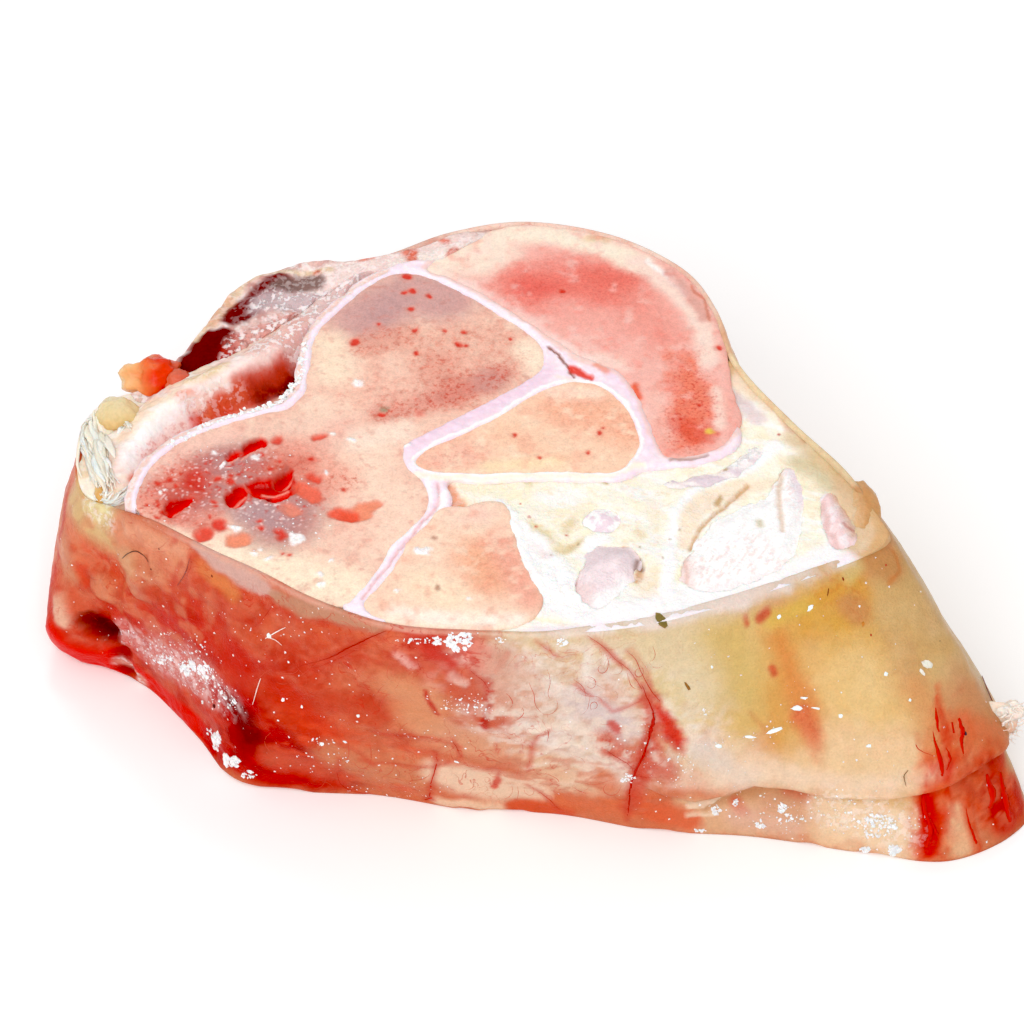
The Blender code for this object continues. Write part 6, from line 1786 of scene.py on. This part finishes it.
def make_wall(material):
    """The outer wall of meat and fascia, closed round its rim, its inner side and its lower cut."""
    rim, foot, way = wall_columns(WALL_COLUMNS, FRONT_SHARE)
    plain = [wall_points(rim, foot, way, share) for share in np.linspace(0.0, 1.0, PLAIN_ROWS)]
    bare = Target(np.vstack(plain), grid_faces(PLAIN_ROWS))
    height, lip = seam_course(bare, foot)
    amount = lip / SEAM_LIP
    heights = [height * share for share in np.linspace(0.0, 1.0, LOWER_ROWS)]
    outs = [-0.25 * lip * smooth((share - 0.3) / 0.7) for share in np.linspace(0.0, 1.0, LOWER_ROWS)]
    heights += [height + 0.1 - 0.4 * amount, height + 0.2 - 0.3 * amount, height + LIP_RISE]
    outs += [0.7 * lip, lip, 1.05 * lip]
    for share in np.linspace(0.0, 1.0, UPPER_ROWS + 1)[1:]:
        z = height + LIP_RISE + (rim[:, 2] - height - LIP_RISE) * share
        heights.append(z)
        outs.append(lip * (1 - smooth((z - height) / 15)))
    rows = len(heights)
    share_of = np.array(heights) / rim[:, 2]
    base = np.vstack([wall_points(rim, foot, way, share) for share in share_of])
    ways = np.tile(way, (rows, 1))
    base[:, :2] += ways * np.concatenate(outs)[:, None]
    skin = Skin(base, bare.place, FASCIA_ORANGE, seed=5)
    paint_wall(skin)
    # painted shade: the wall's colours darken towards its front, where the front light falls
    skin.tint *= (1 - (1 - WALL_FRONT_SHADE) * smooth((6 - base[:, 1]) / 24))[:, None]
    share_of = share_of.ravel()
    rumpled = smooth((base[:, 0] + 66) / 10) * smooth((10 - base[:, 0]) / 40)
    folds = (0.5 + 0.5 * rumpled) * (noise(base, 5.0, 131, 2) - 0.5)
    folds += (0.25 + 0.35 * rumpled) * (noise(base, 1.7, 132, 3) - 0.5)
    calm = smooth(share_of / 0.03) * smooth((1 - share_of) / 0.05)
    made = base.copy()
    made[:, :2] += ways * ((folds + skin.marks["relief"]) * calm)[:, None]
    ragged = 0.5 * smooth((noise(base[:WALL_COLUMNS], 5.0, 133, 3) - 0.42) / 0.3)
    made[:, 2] += np.tile(ragged, rows) * (1 - smooth(share_of / 0.12))

    soft = smooth((rim[:, 0] - 2.0) / 12) * smooth((-14 - rim[:, 1]) / 8)
    over = np.clip(1 - (np.tile(rim[:, 2], rows) - made[:, 2]) / EDGE, 0.0, 1.0)
    soft_rows = np.tile(soft, rows)
    turned = soft_rows * EDGE * (1 - np.sqrt(np.maximum(0.0, 1 - over**2)))
    made[:, :2] -= ways * (0.8 * turned)[:, None]
    made[:, 2] -= 0.35 * soft_rows * over**2

    def inward(amount, height):
        return np.column_stack([rim[:, :2] - way * amount[:, None], height])

    shoulder = inward(0.35 + 1.5 * soft, rim[:, 2] + 0.12 - 0.6 * soft)
    inner = inward(RIM + 0.25 + 1.6 * soft, rim[:, 2] - 0.15 - 0.9 * soft)
    deep = lean(np.column_stack([inner[:, :2], rim[:, 2] - 3.0]))
    bottom = lean(np.column_stack([inner[:, :2], np.zeros(WALL_COLUMNS)]))
    tucked = np.column_stack([grown(foot, -1.6), np.zeros(WALL_COLUMNS)])
    extra = [shoulder, inner, deep, bottom, tucked]
    total = len(made)
    numbers = np.arange(total).reshape(rows, WALL_COLUMNS)
    added = [total + k * WALL_COLUMNS + np.arange(WALL_COLUMNS) for k in range(len(extra))]
    ring_numbers = [numbers[-1], *added, numbers[0]]
    faces = grid_faces(rows)
    for low, high in zip(ring_numbers, ring_numbers[1:]):
        faces += np.column_stack([low, np.roll(low, -1), np.roll(high, -1), high]).tolist()
    source = np.concatenate([np.arange(total), *[numbers[-2]] * 3, *[numbers[1]] * 2])
    marks = {key: channel[source] for key, channel in skin.marks.items()}
    made_all = np.vstack([made, *extra])
    add_piece("flesh_look", made_all, faces, skin.tint[source], marks, material, "flesh", "flesh")
    return Target(made, grid_faces(rows))


def grid_faces(rows):
    """Faces of rows of points, one for each of the wall's columns, closed all round."""
    numbers = np.arange(rows * WALL_COLUMNS).reshape(rows, WALL_COLUMNS)
    lower, upper = numbers[:-1], numbers[1:]
    quads = np.stack([lower, np.roll(lower, -1, 1), np.roll(upper, -1, 1), upper], axis=2)
    return quads.reshape(-1, 4).tolist()


def on_surface(target, pixels, lift):
    """The surface places under a curve of photograph points, raised by lift along the normals."""
    spots = [target.hit(u, v) for u, v in pixels]
    return np.array([spot[0] + spot[1] * lift for spot in spots if spot is not None])


def make_vessels(wall, material):
    """Veins and red streaks on the wall, and fine veins that branch at random."""
    pile = Pile()
    draw = np.random.default_rng(41)
    for pixels, radii, color in VESSELS:
        path = open_spline(pixels, 2.0)
        if len(path) > 4:
            path[1:-1] += draw.normal(0, 0.28, path[1:-1].shape)
            path[1:-1] = (path[:-2] + 2 * path[1:-1] + path[2:]) / 4
        line = on_surface(wall, path, -0.06)
        if len(line) > 2:
            color = 0.7 * np.array(color) + 0.3 * np.array(VEIN)
            tube(pile, line, [0.8 * radius for radius in radii], color, wet=0.2, flat=0.4)
    for (u, v), (reach_u, reach_v), count, angle in TWIGS:
        for _ in range(count):
            start = np.array([u + draw.uniform(-reach_u, reach_u), v + draw.uniform(-reach_v, reach_v)])
            bends = np.cumsum(np.cumsum(draw.normal(0, 0.07, draw.integers(8, 22))))
            turn = math.radians(angle + draw.normal(0, 28)) + bends
            steps = np.column_stack([np.cos(turn), np.sin(turn)]) * 1.8
            line = on_surface(wall, start + np.cumsum(steps, axis=0), -0.02)
            if len(line) > 3 and np.linalg.norm(np.diff(line, axis=0), axis=1).max() < 2:
                thick = draw.uniform(0.03, 0.065)
                tube(pile, line, (0.5 * thick, thick, 0.4 * thick), VEIN, 5, wet=0.1)
    pile.finish("vessels", material, "flesh")


def make_litter(wall, material):
    """Hairs, threads, flakes and heaps of bone dust that lie on the wall."""
    pile = Pile()
    for pixels, radius, color in HAIRS:
        line = on_surface(wall, open_spline(pixels, 2.0), 0.12)
        tube(pile, line, (0.7 * radius, radius, 0.5 * radius), color, 5)
    for u, v, wide, long, tilt, color in FLAKES:
        found = wall.hit(u, v)
        if found is not None:
            chip(pile, *found, (wide, long, 0.1), math.radians(tilt), color, u + v)
    pile.finish("flakes", material, "fat", rounded=False)

    pile = Pile()
    draw = np.random.default_rng(29)
    for number, (spot, reach, count, (small, big)) in enumerate(CRUMBLES):
        for place, normal, share in scatter(wall, (spot, reach), count, 200 + number):
            size = small + (big - small) * share**3
            sides = [size * draw.uniform(*span) for span in ((0.5, 0.9), (0.7, 1.3), (0.3, 0.6))]
            chip(pile, place, normal, sides, draw.uniform(0, math.pi), FROST_WHITE, draw.integers(10000))
    pile.finish("bone_dust", material, "fat", rounded=False)


def chip(pile, place, normal, sides, turn, color, seed):
    """A small angular bit that lies flat on a surface."""
    aside = np.cross((0.02, 0.01, 1.0), normal)
    aside /= np.linalg.norm(aside)
    ahead = np.cross(normal, aside)
    axes = (aside * math.cos(turn) + ahead * math.sin(turn), ahead * math.cos(turn) - aside * math.sin(turn))
    points, faces = ball(4, 7)
    points = points * np.random.default_rng(seed).uniform(0.55, 1.2, (len(points), 1)) * sides
    pile.add(place + points @ np.array([*axes, normal]), faces, color, 0.0)


def scatter(target, region, count, seed):
    """Places at random inside a photograph area, the surface's normal and a random share at each."""
    draw = np.random.default_rng(seed)
    spots = []
    (u, v), (reach_u, reach_v) = region
    for _ in range(count):
        angle, share, chance = draw.uniform(0, 2 * math.pi), math.sqrt(draw.uniform()), draw.uniform()
        found = target.hit(u + reach_u * share * math.cos(angle), v + reach_v * share * math.sin(angle))
        if found is not None:
            spots.append((*found, chance))
    return spots


FLUFF = (1003, 722)  # middle of the frayed bit of fascia on the right end, in the photograph


def make_fluff(wall, material):
    """A frayed bit of pale fascia that sticks out over the seam at the right end."""
    pile = Pile()
    draw = np.random.default_rng(67)
    root = wall.place(*FLUFF)
    for off, radii, colors, rough, seed in (
        ((-0.8, 0.6, -0.4), (2.6, 1.6, 2.8), ((226, 160, 120), (246, 224, 206)), 0.4, 5),
        ((0.6, 0.8, 1.2), (2.0, 1.4, 1.8), ((240, 214, 196), (253, 240, 230)), 0.5, 6),
    ):
        lump(pile, root + off, radii, colors, (0, 0, 1), rough, seed)
    for _ in range(70):
        start = root + draw.normal(0, 1.0, 3) * (1.0, 0.6, 1.6)
        ahead = np.array([draw.uniform(0.2, 1.0), draw.uniform(-0.4, 0.5), draw.uniform(-0.9, 0.9)])
        bend = np.cumsum(draw.normal(0, 0.14, (8, 3)), axis=0)
        line = start + np.outer(np.linspace(0, draw.uniform(1.2, 2.8), 8), ahead) + bend
        tube(pile, line, (0.14, draw.uniform(0.06, 0.14), 0.03), (252, 238, 228), 5, 0.1)
    pile.finish("fascia_fluff", material, "fat")


def make_scrap(material):
    """The torn scrap of meat on the back rim."""
    pile = Pile()
    lump(pile, (*on_level(29.6)(151, 377), 29.6), (4.5, 3.2, 3.0),
         ((242, 206, 160), (238, 176, 118), (232, 124, 72), (228, 56, 20), (226, 62, 28), (222, 112, 84)),
         (1, 0, 0), 0.34, 7, 0.22)
    lump(pile, (*on_level(30.4)(178, 382), 30.4), (2.2, 2.2, 1.6), ((224, 120, 90), (206, 84, 64)),
         (1, 0, 0), 0.3, 9)
    pile.finish("scrap_look", material, "flesh", "flesh")


def make_rim_lump(material):
    """The translucent tan lump of fat at the right end of the sawn face."""
    pile = Pile()
    lump(pile, (*on_level(34.6)(862, 510), 34.6), (2.6, 5.6, 1.1),
         ((230, 204, 182), (214, 172, 126), (204, 148, 94), (210, 160, 108)), (1, 0, 0), 0.16, 31)
    pile.finish("rim_lump", material, "fat", "fat_pad")


def make_lobules(material):
    """Amber lobules of fat on the frayed band."""
    pile = Pile()
    lump(pile, (-54.8, 7.0, 29.9), (2.9, 3.1, 2.3), ((232, 214, 172), (224, 200, 150), (214, 170, 96)),
         (0.2, -0.8, -0.6), 0.24, 12)
    lump(pile, (-55.6, -8.0, 29.7), (1.5, 2.9, 1.7), ((224, 184, 120), (210, 150, 72)),
         (0, -0.7, -0.7), 0.24, 13)
    pile.finish("fat_lobules", material, "fat", "ligament")


FRAYED = [  # photograph points along the torn strands: spread, count and radii of each bundle
    ([(80, 414), (86, 440), (96, 466), (106, 496)], 9.0, 26, (0.15, 0.35)),
    ([(94, 426), (100, 450), (104, 472), (108, 500)], 9.0, 20, (0.15, 0.35)),
    ([(84, 418), (92, 446), (98, 470), (104, 496)], 8.0, 12, (0.5, 1.0)),
    ([(76, 412), (72, 424), (76, 440), (84, 452)], 5.0, 16, (0.1, 0.3)),
    ([(98, 430), (106, 450), (108, 462)], 6.0, 8, (0.3, 0.7)),
    ([(96, 498), (108, 504), (120, 498), (134, 488)], 4.0, 22, (0.2, 0.5)),
    ([(98, 500), (106, 514), (116, 534)], 7.0, 22, (0.12, 0.4)),
    ([(86, 420), (76, 420), (69, 430)], 3.0, 10, (0.2, 0.6)),
    ([(90, 448), (80, 446), (71, 448)], 2.0, 8, (0.2, 0.4)),
    ([(118, 432), (124, 424), (132, 436)], 3.0, 8, (0.15, 0.4)),
    ([(104, 470), (112, 476), (118, 488)], 3.0, 6, (0.06, 0.14)),
]


def make_frayed(material, target):
    """The torn white strands and sheets of the ligament."""
    draw = np.random.default_rng(17)
    pile = Pile()
    for pixels, spread, count, (thin, thick) in FRAYED:
        path = open_spline(pixels, 3.0)
        for _ in range(count):
            aside, lift = draw.normal(0, spread / 2.2, 2), draw.uniform(0.1, 1.0)
            start, stop = sorted(draw.uniform(0, 1, 2))
            if stop - start < 0.3:
                start, stop = max(0.0, start - 0.25), min(1.0, stop + 0.25)
            part = path[int(start * (len(path) - 1)):int(stop * (len(path) - 1)) + 1]
            if len(part) < 4:
                continue
            curl = np.column_stack([np.cumsum(draw.normal(0, 0.7, len(part))) for _ in range(2)])
            line = [target.place(u, v) for u, v in part + aside + curl]
            line = np.array(line) + np.outer(np.linspace(0.2, 1.0, len(line)), (0.0, 0.0, lift))
            line[1:-1] = (line[:-2] + line[1:-1] + line[2:]) / 3
            shade = draw.choice([(255, 252, 246), (255, 246, 232), (254, 238, 218)])
            radius = draw.uniform(thin, thick)
            tube(pile, line, (0.3 * radius, radius, 0.8 * radius, 0.1), shade, 6, 0.1, 0.25)
    pile.finish("frayed_strands", material, "fat", "ligament")


FRINGE = [  # photograph points along the edge of bone dust beside the cavity
    (305, 345), (303, 362), (298, 380), (280, 402), (260, 410), (246, 413), (236, 417), (226, 420),
    (207, 428), (189, 437), (172, 445),
]


def make_fringe(material):
    """White crumbs and small spikes of bone dust along the cartilage's outer edge."""
    draw = np.random.default_rng(23)
    pile = Pile()
    place = on_level(SLAB - 0.2)
    line = open_spline([place(u, v) for u, v in FRINGE], 0.35)
    for spot in line:
        for _ in range(3):
            x, y = spot + draw.normal(0, 0.3, 2)
            size = draw.uniform(0.12, 0.42)
            tilt = draw.normal(0, 0.6, 3) + (0.0, 0.0, 1.0)
            center = np.array([x, y, SLAB - draw.uniform(-0.1, 0.6)])
            sides = (size, 1.3 * size, 0.7 * size)
            chip(pile, center, tilt / np.linalg.norm(tilt), sides, draw.uniform(0, 3), WHITE,
                 draw.integers(10000))
    for spot in line[::4]:
        tip = spot + draw.normal(0, 0.35, 2) + (-0.6, 0.5)
        a, b = np.array([*spot, SLAB - 0.3]), np.array([*tip, SLAB - draw.uniform(0.3, 0.9)])
        tube(pile, open_spline([a, b], 0.3), (0.3, 0.18, 0.05), WHITE, 5, 0.0)
    pile.finish("bone_dust_fringe", material, "cartilage", "cartilage", rounded=False)


def make_camera():
    data = bpy.data.cameras.new("camera")
    data.sensor_width = 36.0
    data.lens = data.sensor_width * VIEW_DISTANCE / (PHOTO_SIZE * PIXEL)
    data.clip_start = 0.01
    camera = bpy.data.objects.new("camera", data)
    camera.location = to_frame(EYE)
    camera.rotation_euler = (math.pi / 2 - ELEVATION, 0.0, 0.0)
    bpy.context.scene.collection.objects.link(camera)
    bpy.context.scene.camera = camera


def add_lamp(name, place, size, energy):
    """A soft square light that looks at the middle of the sawn face."""
    data = bpy.data.lights.new(name, "AREA")
    data.size = size
    data.energy = energy
    lamp = bpy.data.objects.new(name, data)
    lamp.location = place
    lamp.rotation_euler = (Vector(FACE_MIDDLE) - Vector(place)).to_track_quat("-Z", "Y").to_euler()
    bpy.context.scene.collection.objects.link(lamp)


BLACK = 0.022  # light that the picture shows as black
SKY = 0.68  # strength of the even light from all round
FACE_MIDDLE = (0.0, 0.0, 0.03)  # middle of the sawn face, in the frame's metres
FLOOR_SIZE = 1.5  # half the floor's width in metres
FLOOR_GLOW = 0.08


def make_light():
    scene = bpy.context.scene
    world = bpy.data.worlds.new("studio")
    world.use_nodes = True
    light = world.node_tree.nodes["Background"]
    light.inputs["Color"].default_value = (1.0, 1.0, 1.0, 1.0)
    light.inputs["Strength"].default_value = SKY
    scene.world = world
    add_lamp("front_box", (-0.15, -0.42, 0.42), 0.45, 1.7)
    add_lamp("back_box", (-0.08, 0.30, 0.50), 0.12, 0.4)
    add_lamp("small_box", (0.10, -0.50, 0.55), 0.04, 0.25)
    view = scene.view_settings
    view.view_transform = "Standard"
    view.use_curve_mapping = True
    view.curve_mapping.black_level = (BLACK, BLACK, BLACK)
    view.curve_mapping.update()


def make_floor():
    mesh = bpy.data.meshes.new("floor")
    corners = [(-1, -1), (1, -1), (1, 1), (-1, 1)]
    mesh.from_pydata([(FLOOR_SIZE * x, FLOOR_SIZE * y, 0.0) for x, y in corners], [], [(0, 1, 2, 3)])
    material = bpy.data.materials.new("floor")
    material.use_nodes = True
    shader = material.node_tree.nodes["Principled BSDF"]
    shader.inputs["Base Color"].default_value = (1.0, 0.995, 0.995, 1.0)
    shader.inputs["Roughness"].default_value = 0.9
    shader.inputs["Specular IOR Level"].default_value = 0.1
    shader.inputs["Emission Color"].default_value = (1.0, 1.0, 1.0, 1.0)
    shader.inputs["Emission Strength"].default_value = FLOOR_GLOW
    mesh.materials.append(material)
    floor = bpy.data.objects.new("floor", mesh)
    floor.location.z = -0.0001
    bpy.context.scene.collection.objects.link(floor)


def build():
    bone = tissue("bone", (204, 74, 50), 0.7, 0.28, 0.13, 0.09, 0.04, scatter=0.4, depth=0.2)
    red_bone = tissue("red_bone", (208, 52, 40), 0.5, 0.28, 0.1, 0.09, 0.04, rough=0.4, scatter=0.4)
    white = tissue("cartilage", (220, 120, 120), 0.5, 0.5, 0.04, 0.3, 0.02, rough=0.3)
    fat = tissue("fat", (206, 80, 50), 0.5, 0.35, 0.06, 0.15, 0.07, rough=0.45)
    sinew = tissue("tendon", (206, 150, 150), 0.5, 0.35, 0.08, 0.12, 0.09, rough=0.5, depth=0.15)
    pale = tissue("capsule", (206, 70, 48), 0.7, 0.5, 0.08, 0.2, 0.05, rough=0.26)
    dark = tissue("muscle", (96, 4, 4), 0.8, 0.5, 0.16, 0.05, 0.08, rough=0.5)
    red = tissue("flesh", (190, 34, 20), 0.8, 0.3, 0.09, 0.07, 0.07, rough=0.36, vein=4.0)
    blood = tissue("blood", (150, 8, 6), 0.6, 0.5, 0.05, 0.08, 0.01, rough=0.3)

    bones = [outline(loop, 0.22) for loop in (BONE_LARGE, BONE_UPPER, BONE_CENTER, BONE_FRONT)]
    large, upper, center, front = bones
    joint, capsule, muscle = outline(JOINT, 0.3), outline(CAPSULE), outline(MUSCLE)
    border = fence(RIM)
    for name, loop, paint, material, slot, base in (
        ("bone_large", large, paint_large, bone, "bone", BONE_PEACH),
        ("bone_upper", upper, paint_upper, red_bone, "red_bone", ROSE),
        ("bone_center", center, paint_center, bone, "bone", (249, 208, 180)),
        ("bone_front", front, paint_front, bone, "bone", (248, 210, 186)),
    ):
        dress_upright(name + "_look", ([grown(loop, OVERLAP), border], []), bone_level, paint, material, slot,
                      base)
    around_bones = [grown(loop, -0.12) for loop in bones]
    dress_upright("cartilage_look", ([grown(joint, 0.12), border], around_bones), cartilage_level,
                  paint_cartilage, white, "cartilage", LILAC)
    inner_joint = [grown(joint, -OVERLAP), *[grown(loop, -OVERLAP) for loop in bones]]
    tendons = [
        ("round", TENDON_ROUND, paint_round, (250, 232, 234)), ("small", TENDON_SMALL, paint_small, WHITE),
        ("broad", TENDON_BROAD, paint_broad, WHITE), ("flat", TENDON_FLAT, paint_flat, (251, 238, 236)),
        ("edge", TENDON_EDGE, paint_edge, (247, 216, 216)),
    ]
    around_tendons = [grown(outline(row[1], TENDON_WAVES), -0.2) for row in tendons]
    dress_upright("fat_pad_look", ([outline(FAT_PAD), border], inner_joint + around_tendons), fat_level,
                  paint_fat, fat, "fat", (254, 246, 228))
    for name, loop, paint, base in tendons:
        dress_upright(f"tendon_{name}_look", ([grown(outline(loop, TENDON_WAVES), 0.25), border], []),
                      tendon_level, paint, sinew, "tendon", base)
    hidden, loops, tops = list(inner_joint), [], []
    for loop in (grown(capsule, 0.1), grown(muscle, 0.1), outline(LIGAMENT)):
        loops.append(([loop, border], list(hidden)))
        hidden.append(grown(loop, -OVERLAP - 0.1))
    for name, loop, level, paint, material, slot, base, start in (
        ("joint_capsule_look", loops[0], capsule_level, paint_capsule, pale, "capsule", CAPSULE_CREAM, 31.0),
        ("muscle_back_look", loops[1], muscle_level, paint_muscle, dark, "muscle", (226, 192, 184), 32.0),
        ("ligament_look", loops[2], ligament_level, paint_ligament, fat, "fat", (252, 238, 218), 30.0),
    ):
        tops.append(dress_upright(name, loop, level, paint, material, slot, base, start))
    wall = make_wall(red)
    make_vessels(wall, blood)
    make_litter(wall, fat)
    make_fluff(wall, fat)
    make_rim_lump(pale)
    top = Target(*joined(tops))
    make_scrap(pale)
    make_lobules(pale)
    make_frayed(fat, top)
    make_fringe(white)
    make_floor()
    make_light()
    make_camera()


build()
